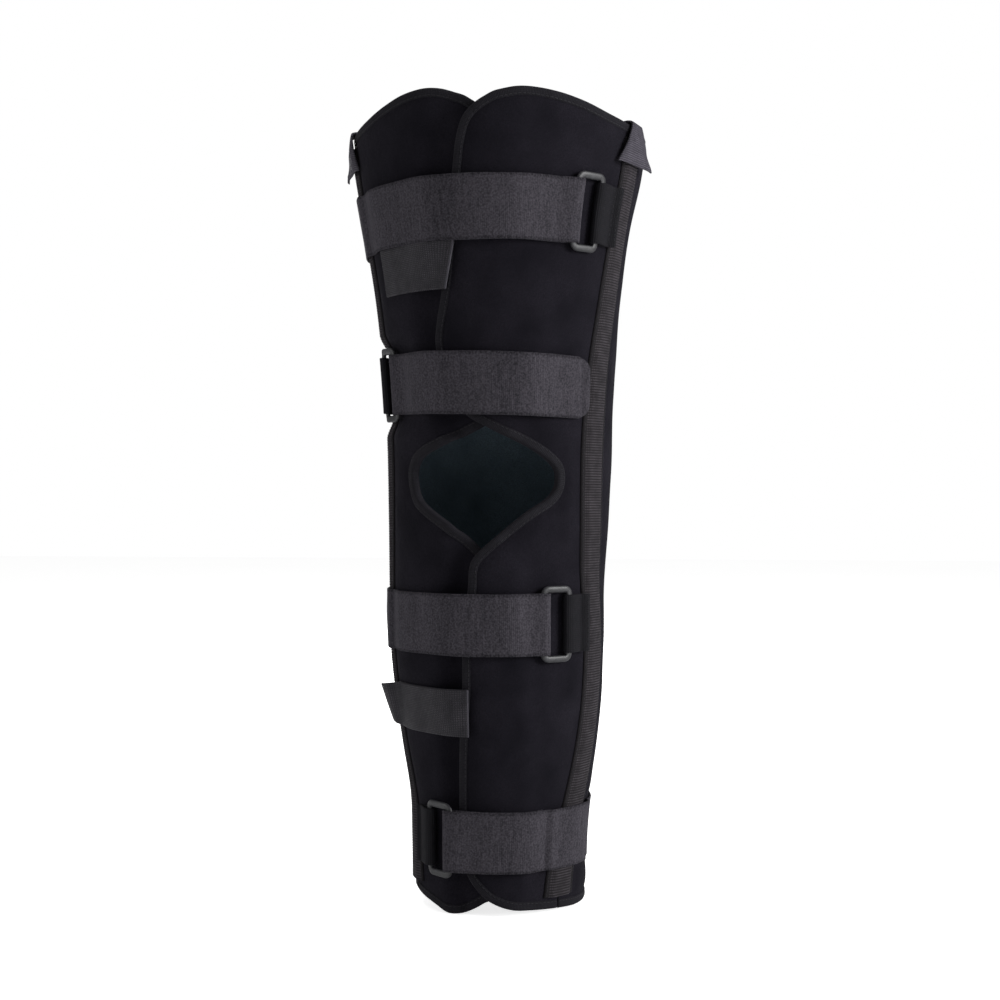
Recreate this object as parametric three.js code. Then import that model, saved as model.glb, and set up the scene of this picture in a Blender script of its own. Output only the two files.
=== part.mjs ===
// Straight knee immobilizer: a foam wrap of three panels with side stays,
// four hook and loop straps with rings, and two bridging tabs.
// It stands upright as worn, open for the leg. Millimetres, +Z up the leg,
// the kneecap opening faces -Y and the origin is the middle of the knee.

import * as THREE from 'three';

// Wrap sizes
const THIGH_LENGTH = 240;
const CALF_LENGTH = 265;
const THIGH_WIDTH = 193.5;
const THIGH_DEPTH = 197;
const FOAM = 5;
const OPENING_WIDTH = 102;
const OPENING_HEIGHT = 77;
const HEM_DIP = 14;
const HEM_REACH = 60;
const OVERLAP_LIFT = 2.5;

// Edge tape
const BINDING = 0.8;
const BINDING_WIDTH = 4.6;

// Side stays in their casings
const CASING_WIDTH = 25;
const CASING_BORDER = 3.2;
const CASING_CLOTH = 1;
const CASING_RISE = 2.4;
const CASING_INSET = 7;
const CAP = 1;
const CAP_WIDTH = 43;
const CAP_TOP_WIDTH = 15;
const CAP_DROP = 24;
const CAP_TUCK = 14;
const CAP_FLARE = 4;

// Straps, rings and tabs
const STRAP_WIDTH = 37;
const STRAP = 1.4;
const STRAP_CORNER = 9;
const ANCHOR_WIDTH = 35;
const ANCHOR = 1.2;
const RING_WIDTH = 22;
const RING_BAR = 4.4;
const RING_THICKNESS = 2.6;
const RING_CORNER = 3.2;
const RING_PLAY = 0.9;
const TAB_HEIGHT = 28;
const TAB = 1.6;

// Clearances between pieces
const GAP = 0.3;
const TAPE_GAP = 0.4;
const SEAM_GAP = 1.4;
const STRAP_GAP = 0.4;
const RING_GAP = 0.5;

// The outer form of the wrap. Level is -1 at the lowest hem, 0 at the knee and 1 at the top hem.
// Widths and the shift aside are shares of the thigh width, depths and the shift back of its depth.
const FORM = [
  { level: -1.000, width: 0.568, depth: 0.579, aside: 0.000, back: 0.010 },
  { level: -0.849, width: 0.570, depth: 0.594, aside: 0.000, back: 0.014 },
  { level: -0.743, width: 0.589, depth: 0.629, aside: 0.004, back: 0.020 },
  { level: -0.623, width: 0.639, depth: 0.680, aside: 0.001, back: 0.029 },
  { level: -0.509, width: 0.678, depth: 0.711, aside: -0.003, back: 0.030 },
  { level: -0.377, width: 0.704, depth: 0.726, aside: -0.008, back: 0.026 },
  { level: -0.226, width: 0.709, depth: 0.721, aside: -0.007, back: 0.015 },
  { level: -0.075, width: 0.724, depth: 0.726, aside: 0.000, back: 0.005 },
  { level: 0.158, width: 0.743, depth: 0.741, aside: 0.004, back: 0.000 },
  { level: 0.353, width: 0.769, depth: 0.772, aside: 0.001, back: 0.000 },
  { level: 0.519, width: 0.810, depth: 0.822, aside: -0.001, back: 0.000 },
  { level: 0.685, width: 0.870, depth: 0.896, aside: -0.004, back: 0.000 },
  { level: 0.851, width: 0.946, depth: 0.964, aside: -0.001, back: 0.000 },
  { level: 1.000, width: 1.000, depth: 1.000, aside: 0.000, back: 0.000 },
];

// The seams between the flaps and the back panel, under the casings, in degrees from the front to
// each side.
const SEAM = [
  { level: -1.00, right: 49, left: 64 },
  { level: -0.90, right: 53, left: 68 },
  { level: -0.74, right: 63, left: 75 },
  { level: -0.62, right: 67, left: 78 },
  { level: -0.47, right: 70, left: 80 },
  { level: -0.35, right: 70, left: 80 },
  { level: -0.19, right: 66, left: 78 },
  { level: 0.00, right: 62.5, left: 76 },
  { level: 0.15, right: 62, left: 76 },
  { level: 0.31, right: 64.5, left: 77 },
  { level: 0.49, right: 69.5, left: 79 },
  { level: 0.69, right: 72.5, left: 79 },
  { level: 1.00, right: 71, left: 75 },
];

// The kneecap opening: rise as a share of its height above the knee's middle,
// and the edge of each flap as a share of its width from the front line.
const OPENING = [
  { rise: -0.474, over: 0.009, under: -0.053 },
  { rise: -0.382, over: 0.087, under: -0.139 },
  { rise: -0.273, over: 0.191, under: -0.259 },
  { rise: -0.175, over: 0.294, under: -0.388 },
  { rise: -0.091, over: 0.404, under: -0.479 },
  { rise: 0.000, over: 0.463, under: -0.515 },
  { rise: 0.104, over: 0.474, under: -0.532 },
  { rise: 0.182, over: 0.451, under: -0.521 },
  { rise: 0.278, over: 0.358, under: -0.443 },
  { rise: 0.364, over: 0.241, under: -0.283 },
  { rise: 0.455, over: 0.086, under: -0.117 },
  { rise: 0.526, over: -0.015, under: 0.000 },
];

// The free edges past the opening: the way from its end to the hem as a share, and degrees.
const UPPER_EDGES = [
  { way: 0.027, over: -8.3, under: 6 },
  { way: 0.097, over: -15.5, under: 13 },
  { way: 0.172, over: -20.5, under: 18 },
  { way: 0.257, over: -22.3, under: 19 },
  { way: 0.401, over: -17.4, under: 16 },
  { way: 0.546, over: -13.5, under: 13 },
  { way: 0.666, over: -10.8, under: 10.5 },
  { way: 0.771, over: -8.9, under: 9 },
  { way: 0.855, over: -7.5, under: 7.5 },
  { way: 0.935, over: -4.6, under: 4 },
  { way: 0.978, over: 0.5, under: -0.5 },
  { way: 1.000, over: 6, under: -6 },
];
const LOWER_EDGES = [
  { way: 0.037, over: -5.2, under: 4 },
  { way: 0.107, over: -6.3, under: 9 },
  { way: 0.190, over: -8, under: 11 },
  { way: 0.287, over: -9.5, under: 12 },
  { way: 0.383, over: -10.5, under: 13 },
  { way: 0.540, over: -14.2, under: 15 },
  { way: 0.700, over: -17.1, under: 17 },
  { way: 0.760, over: -17.3, under: 17 },
  { way: 0.825, over: -17, under: 17 },
  { way: 0.890, over: -14.5, under: 15 },
  { way: 0.943, over: -10, under: 11 },
  { way: 0.978, over: -4, under: 6 },
  { way: 1.000, over: 2, under: 1 },
];

// How far the hems draw in, as shares of the hem dip, by degrees from the front to the flap's own side.
const HEMS = [
  { angle: -20, overTop: 0.43, underTop: 0.43, overBottom: 0.70, underBottom: 0.70 },
  { angle: 2, overTop: 0.41, underTop: 0.43, overBottom: 0.68, underBottom: 0.58 },
  { angle: 8, overTop: 0.30, underTop: 0.28, overBottom: 0.50, underBottom: 0.35 },
  { angle: 14, overTop: 0.14, underTop: 0.06, overBottom: 0.37, underBottom: 0.16 },
  { angle: 20, overTop: 0.11, underTop: 0.01, overBottom: 0.30, underBottom: 0.01 },
  { angle: 30, overTop: 0.24, underTop: 0.14, overBottom: 0.24, underBottom: 0.01 },
  { angle: 40, overTop: 0.46, underTop: 0.42, overBottom: 0.21, underBottom: 0.24 },
  { angle: 55, overTop: 0.82, underTop: 0.80, overBottom: 0.14, underBottom: 0.45 },
  { angle: 75, overTop: 1.00, underTop: 1.00, overBottom: 0.04, underBottom: 0.60 },
  { angle: 120, overTop: 1.00, underTop: 1.00, overBottom: 0.04, underBottom: 0.30 },
  { angle: 180, overTop: 1.00, underTop: 1.00, overBottom: 0.10, underBottom: 0.10 },
];

// Straps, by the degrees where each is sewn on, where its ring lies and where its end lies.
// A strap climbs by its tilt, in degrees of slope. An anchor ends at the casing or at its own angle.
const STRAPS = [
  { name: 'upper_thigh', level: 0.703, tilt: 0, sewn: -54, ring: 46, end: -150, anchor: null },
  { name: 'lower_thigh', level: 0.278, tilt: -1.6, sewn: 44, ring: -66, end: 53.5, anchor: -94 },
  { name: 'upper_calf', level: -0.315, tilt: 0, sewn: -52, ring: 38.5, end: -150, anchor: null },
  { name: 'lower_calf', level: -0.825, tilt: 0, sewn: 34, ring: -31.2, end: 150, anchor: -54 },
];

// Tabs, from a left end to a right end in degrees. The right end is cut at a slant in degrees of arc.
// The left end stands off the wrap by its flare, and narrows by its taper at each edge, in millimetres.
const TABS = [
  { name: 'upper', level: 0.566, left: -55, right: -12.4, slant: 2.6, flare: 0, taper: 0 },
  { name: 'lower', level: -0.521, left: -73, right: -7.8, slant: 0.5, flare: 7, taper: 2.3 },
];

// The dent where the ring of the lower thigh strap pulls the wrap in: its middle, its reach to
// each side and how far it fades past that, in millimetres up the leg and degrees round it.
const DENT = { level: 0.278, angle: -76, depth: 4.5, height: 20, rise: 14, turn: 22, fade: 30 };

const COLOURS = {
  foam: 0x1a191d,
  binding: 0x211f25,
  casing: 0x2e2c2f,
  cap: 0x47444b,
  strap: 0x323035,
  anchor: 0x201f24,
  ring: 0x3e3d43,
  tab: 0x363438,
};

const PANEL_COLUMNS = 8;
const BACK_COLUMNS = 18;
const CAP_COLUMNS = 5;
const MOST_SLANT = 3;
const CORNER_SHARE = 0.2;
const DENT_CLEAR = 5;
const STATION = 5;
const ANCHOR_STATION = 7;
const CASING_ROWS = 18;
const RING_SIDES = 8;
const CORNER_STEPS = 4;

const TOP = THIGH_LENGTH;
const BOTTOM = -CALF_LENGTH;
const TAPE_STACK = TAPE_GAP + BINDING;
const UNDER_DIP = FOAM - OVERLAP_LIFT + 2 * TAPE_STACK + GAP;

// Small helpers

function clamp(value, low, high) {
  return Math.min(Math.max(value, low), high);
}

function ramp(value, start, end) {
  const t = clamp((value - start) / (end - start), 0, 1);
  return t * t * (3 - 2 * t);
}

function mix(a, b, share) {
  return a + (b - a) * share;
}

// A smooth curve through one column of a table.
function curve(table, along, column) {
  const xs = table.map((row) => row[along]);
  const ys = table.map((row) => row[column]);
  const last = xs.length - 1;
  const slopes = xs.map((_, i) => {
    const before = Math.max(i - 1, 0);
    const after = Math.min(i + 1, last);
    return (ys[after] - ys[before]) / (xs[after] - xs[before]);
  });
  return (value) => {
    const x = clamp(value, xs[0], xs[last]);
    const after = clamp(xs.findIndex((known) => known >= x), 1, last);
    const i = after - 1;
    const span = xs[after] - xs[i];
    const t = (x - xs[i]) / span;
    const rise = ys[i] * (1 + 2 * t) * (1 - t) ** 2 + ys[after] * t * t * (3 - 2 * t);
    return rise + span * (slopes[i] * t * (1 - t) ** 2 - slopes[after] * t * t * (1 - t));
  };
}

function levelOf(z) {
  return z > 0 ? z / THIGH_LENGTH : z / CALF_LENGTH;
}

function heightOf(level) {
  return level > 0 ? level * THIGH_LENGTH : level * CALF_LENGTH;
}

// The leg form that everything is bent round

const formWidth = curve(FORM, 'level', 'width');
const formDepth = curve(FORM, 'level', 'depth');
const formAside = curve(FORM, 'level', 'aside');
const formBack = curve(FORM, 'level', 'back');
const seamAngle = { right: curve(SEAM, 'level', 'right'), left: curve(SEAM, 'level', 'left') };

function dentAt(angle, z) {
  const aside = Math.abs((angle > 180 ? angle - 360 : angle) - DENT.angle);
  const away = Math.abs(z - heightOf(DENT.level));
  const left = 1 - ramp(aside, DENT.turn, DENT.turn + DENT.fade);
  return DENT.depth * left * (1 - ramp(away, DENT.height, DENT.height + DENT.rise));
}

function onLeg(angle, offset, z) {
  const level = levelOf(z);
  const turn = THREE.MathUtils.degToRad(angle);
  const out = offset - dentAt(angle, z);
  const across = formWidth(level) * THIGH_WIDTH / 2 + out;
  const through = formDepth(level) * THIGH_DEPTH / 2 + out;
  const x = formAside(level) * THIGH_WIDTH + across * Math.sin(turn);
  const y = formBack(level) * THIGH_DEPTH - through * Math.cos(turn);
  return new THREE.Vector3(x, y, z);
}

function millimetresPerDegree(z) {
  const level = levelOf(z);
  const radius = (formWidth(level) * THIGH_WIDTH + formDepth(level) * THIGH_DEPTH) / 4;
  return THREE.MathUtils.degToRad(radius);
}

function degreesFor(length, z) {
  return length / millimetresPerDegree(z);
}

// The angle of the seam on the right (side 1) or the left (side -1).
function seamAt(z, side) {
  return side * seamAngle[side > 0 ? 'right' : 'left'](levelOf(z));
}

// Levels of the rows of the back panel
const BACK_LEVELS = [
  -0.91, -0.84, -0.78, -0.71, -0.62, -0.52, -0.42, -0.30, -0.18, 0, 0.54, 0.66, 0.78, 0.9,
];

// Free edges of the two front flaps, by height

function edgeRows() {
  const kneeDegrees = degreesFor(OPENING_WIDTH, 0);
  const knee = OPENING.map((row) => ({
    z: row.rise * OPENING_HEIGHT,
    over: row.over * kneeDegrees,
    under: row.under * kneeDegrees,
  }));
  const lowest = knee[0].z;
  const highest = knee[knee.length - 1].z;
  const below = LOWER_EDGES.map((row) => ({ ...row, z: mix(lowest, BOTTOM, row.way) }));
  const above = UPPER_EDGES.map((row) => ({ ...row, z: mix(highest, TOP, row.way) }));
  return [...below.reverse(), ...knee, ...above];
}

const EDGES = edgeRows();
const edgeOf = { over: curve(EDGES, 'z', 'over'), under: curve(EDGES, 'z', 'under') };

// Heights of the rows of a panel: the row next to each hem lies where the hem's tape ends,
// and four rows lie where the dent begins and ends.
function rowHeights(heights) {
  const clear = 1.5 * BINDING_WIDTH;
  const middle = withDent(heights.filter((z) => z > BOTTOM + clear && z < TOP - clear));
  return [BOTTOM, BOTTOM + BINDING_WIDTH, ...middle, TOP - BINDING_WIDTH, TOP];
}

function withDent(heights) {
  const reach = DENT.height + DENT.rise;
  const dent = [-reach, -DENT.height, DENT.height, reach].map((step) => heightOf(DENT.level) + step);
  const others = heights.filter((z) => dent.every((known) => Math.abs(z - known) > DENT_CLEAR));
  return [...others, ...dent].sort((a, b) => a - b);
}

const FLAP_ROWS = rowHeights(EDGES.map((row) => row.z));
const BACK_ROWS = rowHeights(BACK_LEVELS.map(heightOf));
const CORNER_ZONE = 0.07;
const LAP_TOP = TOP - CORNER_ZONE * THIGH_LENGTH;
const LAP_BOTTOM = BOTTOM + CORNER_ZONE * CALF_LENGTH;

// The edge of a flap without its rounded corners at the hems.
function lapLine(flap, z) {
  return edgeOf[flap](clamp(z, LAP_BOTTOM, LAP_TOP));
}

// How far past the crossing of the two edges the flaps stay apart, in millimetres and degrees.
const LAP_WINDOW = 12;
const LAP_SPREAD = { near: 3, far: 17 };

function lapLimit(flap, z) {
  const limit = flap === 'over' ? Math.min : Math.max;
  return limit(...[-1, -0.5, 0, 0.5, 1].map((share) => lapLine(flap, z + share * LAP_WINDOW)));
}

// Height of the outer face of a panel over the leg form.
function faceOf(panel, angle, z) {
  if (panel === 'over') {
    const edge = lapLimit('under', z);
    return OVERLAP_LIFT * (1 - ramp(angle, edge + LAP_SPREAD.near, edge + LAP_SPREAD.far));
  }
  if (panel === 'under') {
    const edge = lapLimit('over', z);
    return -UNDER_DIP * ramp(angle, edge - LAP_SPREAD.far, edge - LAP_SPREAD.near);
  }
  return 0;
}

const hemCurve = {
  overTop: curve(HEMS, 'angle', 'overTop'),
  underTop: curve(HEMS, 'angle', 'underTop'),
  overBottom: curve(HEMS, 'angle', 'overBottom'),
  underBottom: curve(HEMS, 'angle', 'underBottom'),
};

// The hem on the flap's own side: angles past the back count from the other side.
function hemShare(panel, end, angle) {
  if (panel === 'over') return hemCurve['over' + end](angle);
  if (panel === 'under') return hemCurve['under' + end](-angle);
  return angle < 180 ? hemCurve['over' + end](angle) : hemCurve['under' + end](360 - angle);
}

function hemmedHeight(panel, angle, z) {
  const nearTop = ramp(z, TOP - HEM_REACH, TOP);
  const nearBottom = ramp(-z, -BOTTOM - HEM_REACH, -BOTTOM);
  const drop = hemShare(panel, 'Top', angle) * nearTop;
  const rise = hemShare(panel, 'Bottom', angle) * nearBottom;
  return z + HEM_DIP * (rise - drop);
}

// Angles between which a panel runs at one height.
function panelSpan(panel, z) {
  const [left, right] = [seamAt(z, -1), seamAt(z, 1)];
  const slack = degreesFor(SEAM_GAP / 2, z);
  if (panel === 'over') return [edgeOf.over(z), right - slack];
  if (panel === 'under') return [left + slack, edgeOf.under(z)];
  return [right + slack, 360 + left - slack];
}

// Solids

// Joins equal closed sections into one closed body, each four-sided face split along its shorter
// diagonal. The first half of each section runs along one side and the second half comes back.
function sweep(sections, closed = false) {
  const count = sections[0].length;
  const points = sections.flat();
  const faces = [];
  const rounds = closed ? sections.length : sections.length - 1;
  for (let i = 0; i < rounds; i += 1) {
    const here = i * count;
    const next = ((i + 1) % sections.length) * count;
    for (let k = 0; k < count; k += 1) {
      const l = (k + 1) % count;
      const [a, b, c, d] = [here + k, here + l, next + l, next + k];
      const straight = points[a].distanceTo(points[c]) <= points[b].distanceTo(points[d]);
      faces.push(...(straight ? [a, b, c, a, c, d] : [a, b, d, b, c, d]));
    }
  }
  if (!closed) {
    const end = (sections.length - 1) * count;
    for (let k = 0; k + 1 < count / 2; k += 1) {
      const m = count - 1 - k;
      faces.push(k, m - 1, k + 1, k, m, m - 1);
      faces.push(end + k, end + k + 1, end + m - 1, end + k, end + m - 1, end + m);
    }
  }
  const geometry = new THREE.BufferGeometry();
  const places = points.flatMap((point) => [point.x, point.y, point.z]);
  geometry.setAttribute('position', new THREE.Float32BufferAttribute(places, 3));
  geometry.setIndex(signedVolume(places, faces) < 0 ? faces.slice().reverse() : faces);
  geometry.computeVertexNormals();
  return geometry;
}

function signedVolume(places, faces) {
  const corner = (index) => new THREE.Vector3().fromArray(places, index * 3);
  let six = 0;
  for (let i = 0; i < faces.length; i += 3) {
    six += corner(faces[i]).dot(corner(faces[i + 1]).cross(corner(faces[i + 2])));
  }
  return six / 6;
}

const group = new THREE.Group();

function add(name, geometry, colour, roughness, metalness = 0) {
  const material = new THREE.MeshStandardMaterial({ color: colour, roughness, metalness });
  const mesh = new THREE.Mesh(geometry, material);
  mesh.name = name;
  group.add(mesh);
}

// Foam panels

// How much wider the edge tape is along a row than across its slanted edge.
function slantOf(flap, z) {
  const rise = BINDING_WIDTH / 2;
  const shift = (edgeOf[flap](z + rise) - edgeOf[flap](z - rise)) * millimetresPerDegree(z);
  return Math.min(Math.hypot(shift, 2 * rise) / (2 * rise), MOST_SLANT);
}

// A point of a panel by column and height. The column next to a free edge lies where its tape ends.
function panelPoint(panel, column, z) {
  const [first, last] = panelSpan(panel, z);
  let angle = mix(first, last, column / BACK_COLUMNS);
  if (panel !== 'back') {
    const [free, sewn] = panel === 'over' ? [first, last] : [last, first];
    const step = panel === 'over' ? column : PANEL_COLUMNS - column;
    const tape = Math.sign(sewn - free) * degreesFor(BINDING_WIDTH * slantOf(panel, z), z);
    angle = step === 0 ? free : mix(free + tape, sewn, (step - 1) / (PANEL_COLUMNS - 1));
  }
  const hemmed = hemmedHeight(panel, angle, z);
  return { angle, z: hemmed, face: faceOf(panel, angle, hemmed) };
}

function panelSolid(panel) {
  const columns = panel === 'back' ? BACK_COLUMNS : PANEL_COLUMNS;
  const rows = panel === 'back' ? BACK_ROWS : FLAP_ROWS;
  const sections = rows.map((z) => {
    const outer = [];
    const inner = [];
    for (let i = 0; i <= columns; i += 1) {
      const point = panelPoint(panel, i, z);
      outer.push(onLeg(point.angle, point.face, point.z));
      inner.unshift(onLeg(point.angle, point.face - FOAM, point.z));
    }
    return [...outer, ...inner];
  });
  return sweep(sections);
}

// Edge tape, folded over the edge of a panel. Each step has a point of the edge and the point
// of the panel where the tape ends.

function bindingSolid(path) {
  const sections = path.map(({ edge, tip }) => {
    const wide = (tip.angle - edge.angle) * millimetresPerDegree(edge.z);
    const run = Math.hypot(wide, tip.z - edge.z);
    const over = (face, height, side) => (side > 0 ? face + height : face - FOAM - height);
    const place = (height, side) => {
      const share = -height / run;
      const angle = mix(edge.angle, tip.angle, share);
      return onLeg(angle, over(edge.face, height, side), mix(edge.z, tip.z, share));
    };
    const end = (height, side) => onLeg(tip.angle, over(tip.face, height, side), tip.z);
    return [
      end(TAPE_STACK, 1), place(TAPE_STACK, 1), place(TAPE_STACK, -1), end(TAPE_STACK, -1),
      end(TAPE_GAP, -1), place(TAPE_GAP, -1), place(TAPE_GAP, 1), end(TAPE_GAP, 1),
    ];
  });
  return sweep(sections);
}

// Steps of tape along a hem, from the first column to the last.
function hemSteps(panel, end, from, to) {
  const hem = end === 'top' ? TOP : BOTTOM;
  const row = end === 'top' ? TOP - BINDING_WIDTH : BOTTOM + BINDING_WIDTH;
  const path = [];
  for (let i = from; i <= to; i += 1) {
    path.push({ edge: panelPoint(panel, i, hem), tip: panelPoint(panel, i, row) });
  }
  return path;
}

function between(a, b, share) {
  return { angle: mix(a.angle, b.angle, share), z: mix(a.z, b.z, share), face: mix(a.face, b.face, share) };
}

// Steps of tape round a flap: one hem, the corner, the free edge, the corner and the other hem.
function flapSteps(panel) {
  const free = panel === 'over' ? 0 : PANEL_COLUMNS;
  const next = panel === 'over' ? 1 : PANEL_COLUMNS - 1;
  const third = panel === 'over' ? 2 : PANEL_COLUMNS - 2;
  const inside = FLAP_ROWS.slice(2, -2);
  const point = (column, z) => panelPoint(panel, column, z);
  const edge = inside.map((z) => ({ edge: point(free, z), tip: point(next, z) }));
  const corner = (hem, row, beyond) => {
    const tip = point(next, row);
    return [
      { edge: point(next, hem), tip: between(tip, point(third, row), CORNER_SHARE) },
      { edge: point(free, hem), tip },
      { edge: point(free, row), tip: between(tip, point(next, beyond), CORNER_SHARE) },
    ];
  };
  const columns = panel === 'over' ? [2, PANEL_COLUMNS] : [0, PANEL_COLUMNS - 2];
  const order = panel === 'over' ? (steps) => steps.reverse() : (steps) => steps;
  const bottom = order(hemSteps(panel, 'bottom', ...columns));
  const top = order(hemSteps(panel, 'top', ...columns)).reverse();
  const lower = corner(BOTTOM, BOTTOM + BINDING_WIDTH, inside[0]);
  const upper = corner(TOP, TOP - BINDING_WIDTH, inside[inside.length - 1]).reverse();
  const path = [...bottom, ...lower, ...edge, ...upper, ...top];
  return panel === 'over' ? path : path.reverse();
}

for (const flap of ['under', 'over']) {
  add(`${flap}_flap`, panelSolid(flap), COLOURS.foam, 0.95);
  add(`${flap}_flap_binding`, bindingSolid(flapSteps(flap)), COLOURS.binding, 0.8);
}
add('back_panel', panelSolid('back'), COLOURS.foam, 0.95);
for (const end of ['top', 'bottom']) {
  const hem = hemSteps('back', end, 0, BACK_COLUMNS);
  add(`back_panel_${end}_binding`, bindingSolid(hem), COLOURS.binding, 0.8);
}

// Stay casings over the side seams

// A casing's section as shares of its width: flat borders, and between them the cloth over the stay.
const BORDER_SHARE = CASING_BORDER / CASING_WIDTH;
const STAY_SHARE = 1.5 * BORDER_SHARE;
const CASING_SECTION = [
  { across: -0.5, rise: CASING_CLOTH },
  { across: -0.5 + BORDER_SHARE, rise: CASING_CLOTH },
  { across: -0.5 + STAY_SHARE, rise: CASING_RISE },
  { across: 0, rise: CASING_RISE },
  { across: 0.5 - STAY_SHARE, rise: CASING_RISE },
  { across: 0.5 - BORDER_SHARE, rise: CASING_CLOTH },
  { across: 0.5, rise: CASING_CLOTH },
];

function hemAtSeam(side, end) {
  const z = end === 'Top' ? TOP : BOTTOM;
  return hemmedHeight(side > 0 ? 'over' : 'under', seamAt(z, side), z);
}

function casingSolid(side) {
  const low = hemAtSeam(side, 'Bottom') + CASING_INSET;
  const high = hemAtSeam(side, 'Top') - CASING_INSET;
  const even = Array.from({ length: CASING_ROWS + 1 }, (_, i) => mix(low, high, i / CASING_ROWS));
  const sections = withDent(even).map((z) => {
    const place = (across, offset) => {
      const angle = seamAt(z, side) + degreesFor(across * CASING_WIDTH, z);
      return onLeg(angle, offset, z);
    };
    const outer = CASING_SECTION.map((row) => place(row.across, GAP + row.rise));
    const inner = CASING_SECTION.map((row) => place(row.across, GAP)).reverse();
    return [...outer, ...inner];
  });
  return sweep(sections);
}

// Height at which a strap rests over the panels, the flaps' lap and the casings.

const CASING_SHOULDER = 5;
const LAP_SHOULDER = { left: 24, right: 18, margin: 3 };

function restOf(z, width) {
  const heights = [z - width / 2, z, z + width / 2];
  const overEdge = Math.min(...heights.map((at) => lapLine('over', at))) - LAP_SHOULDER.margin;
  const underEdge = Math.max(...heights.map((at) => lapLine('under', at))) + LAP_SHOULDER.margin;
  const lap = OVERLAP_LIFT + TAPE_STACK;
  return (angle) => {
    const up = ramp(angle, overEdge - LAP_SHOULDER.left, overEdge);
    const down = ramp(angle, underEdge, underEdge + LAP_SHOULDER.right);
    const fromSeams = heights.map((at) => Math.abs(angle - seamAt(at, angle > 0 ? 1 : -1)));
    const fromSeam = Math.min(...fromSeams) * millimetresPerDegree(z);
    const shoulder = ramp(fromSeam, CASING_WIDTH / 2, CASING_WIDTH / 2 + CASING_SHOULDER);
    return STRAP_GAP + lap * up * (1 - down) + (GAP + CASING_RISE) * (1 - shoulder);
  };
}

// A flat strip through stations, each with an angle, an offset and a height for its low and high edge.

function ribbon(stations, thickness) {
  const normalAt = (edge, i) => {
    const before = stations[Math.max(i - 1, 0)][edge];
    const after = stations[Math.min(i + 1, stations.length - 1)][edge];
    const run = (after.angle - before.angle) * millimetresPerDegree(before.z);
    return new THREE.Vector2(after.offset - before.offset, -run).normalize();
  };
  const sections = stations.map((station, i) => {
    const place = (edge, side) => {
      const point = station[edge];
      const normal = normalAt(edge, i).multiplyScalar(side * thickness / 2);
      return onLeg(point.angle + degreesFor(normal.x, point.z), point.offset + normal.y, point.z);
    };
    return [place('low', 1), place('high', 1), place('high', -1), place('low', -1)];
  });
  return sweep(sections);
}

function steps(from, to, station) {
  const count = Math.max(2, Math.ceil(Math.abs(to - from) / station));
  return Array.from({ length: count + 1 }, (_, i) => mix(from, to, i / count));
}

// The way of webbing that is sewn down at one angle, turns round a ring's bar and comes back.

const TURN_SETTLE = 14;
const END_SETTLE = 14;
const TURN_STEPS = 6;

// A bar's turn has a rise to each side of the bar's middle and a reach past it.
function turnRound(thickness) {
  const clear = RING_GAP + thickness / 2;
  return { rise: RING_THICKNESS / 2 + clear, reach: RING_BAR / 2 + clear };
}

function hairpin({ sewn, bar, end, barOffset, turn, rest, thickness, z, station }) {
  const perDegree = millimetresPerDegree(z);
  const towards = Math.sign(bar - sewn);
  const nearBar = (angle) => 1 - ramp(Math.abs(angle - bar) * perDegree, 0, TURN_SETTLE);
  const inner = (angle) => {
    const flat = rest(angle) + thickness / 2;
    return mix(flat, barOffset - turn.rise, nearBar(angle));
  };
  const outer = (angle) => {
    const past = (angle - sewn) * towards * perDegree;
    const doubled = (thickness + GAP) * ramp(past, -END_SETTLE, 0);
    return mix(rest(angle) + thickness / 2 + doubled, barOffset + turn.rise, nearBar(angle));
  };
  const path = steps(sewn, bar, station).map((angle) => ({ angle, offset: inner(angle) }));
  for (let i = 1; i < TURN_STEPS; i += 1) {
    const swing = Math.PI * (i / TURN_STEPS - 0.5);
    const angle = bar + towards * Math.cos(swing) * turn.reach / perDegree;
    path.push({ angle, offset: barOffset + turn.rise * Math.sin(swing) });
  }
  return [...path, ...steps(bar, end, station).map((angle) => ({ angle, offset: outer(angle) }))];
}

// Rings, each a rounded frame that leans from the strap's bar to the anchor's bar

function ringSolid(strap) {
  const half = { across: (RING_WIDTH - RING_BAR) / 2, up: (STRAP_WIDTH + RING_BAR) / 2 + RING_PLAY };
  const path = [];
  for (const [sx, sz] of [[1, 1], [-1, 1], [-1, -1], [1, -1]]) {
    for (let i = 0; i <= CORNER_STEPS; i += 1) {
      const start = Math.atan2(sz, sx) - Math.PI / 4;
      const swing = start + (Math.PI / 2) * (i / CORNER_STEPS);
      path.push({
        across: sx * (half.across - RING_CORNER) + RING_CORNER * Math.cos(swing),
        up: sz * (half.up - RING_CORNER) + RING_CORNER * Math.sin(swing),
        out: new THREE.Vector2(Math.cos(swing), Math.sin(swing)),
      });
    }
  }
  const sections = path.map((point) => {
    const section = [];
    for (let k = 0; k < RING_SIDES; k += 1) {
      const swing = (2 * Math.PI * (k + 0.5)) / RING_SIDES;
      const sideways = point.out.clone().multiplyScalar(Math.cos(swing) * RING_BAR / 2);
      const across = point.across + sideways.x;
      const lean = mix(strap.barOffset, strap.farOffset, 0.5 + strap.towards * across / (2 * half.across));
      const offset = lean + Math.sin(swing) * RING_THICKNESS / 2;
      const angle = strap.ring + degreesFor(across, strap.z);
      section.push(onLeg(angle, offset, strap.z + strap.slope * (angle - strap.ring) + point.up + sideways.y));
    }
    return section;
  });
  return sweep(sections, true);
}

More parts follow.
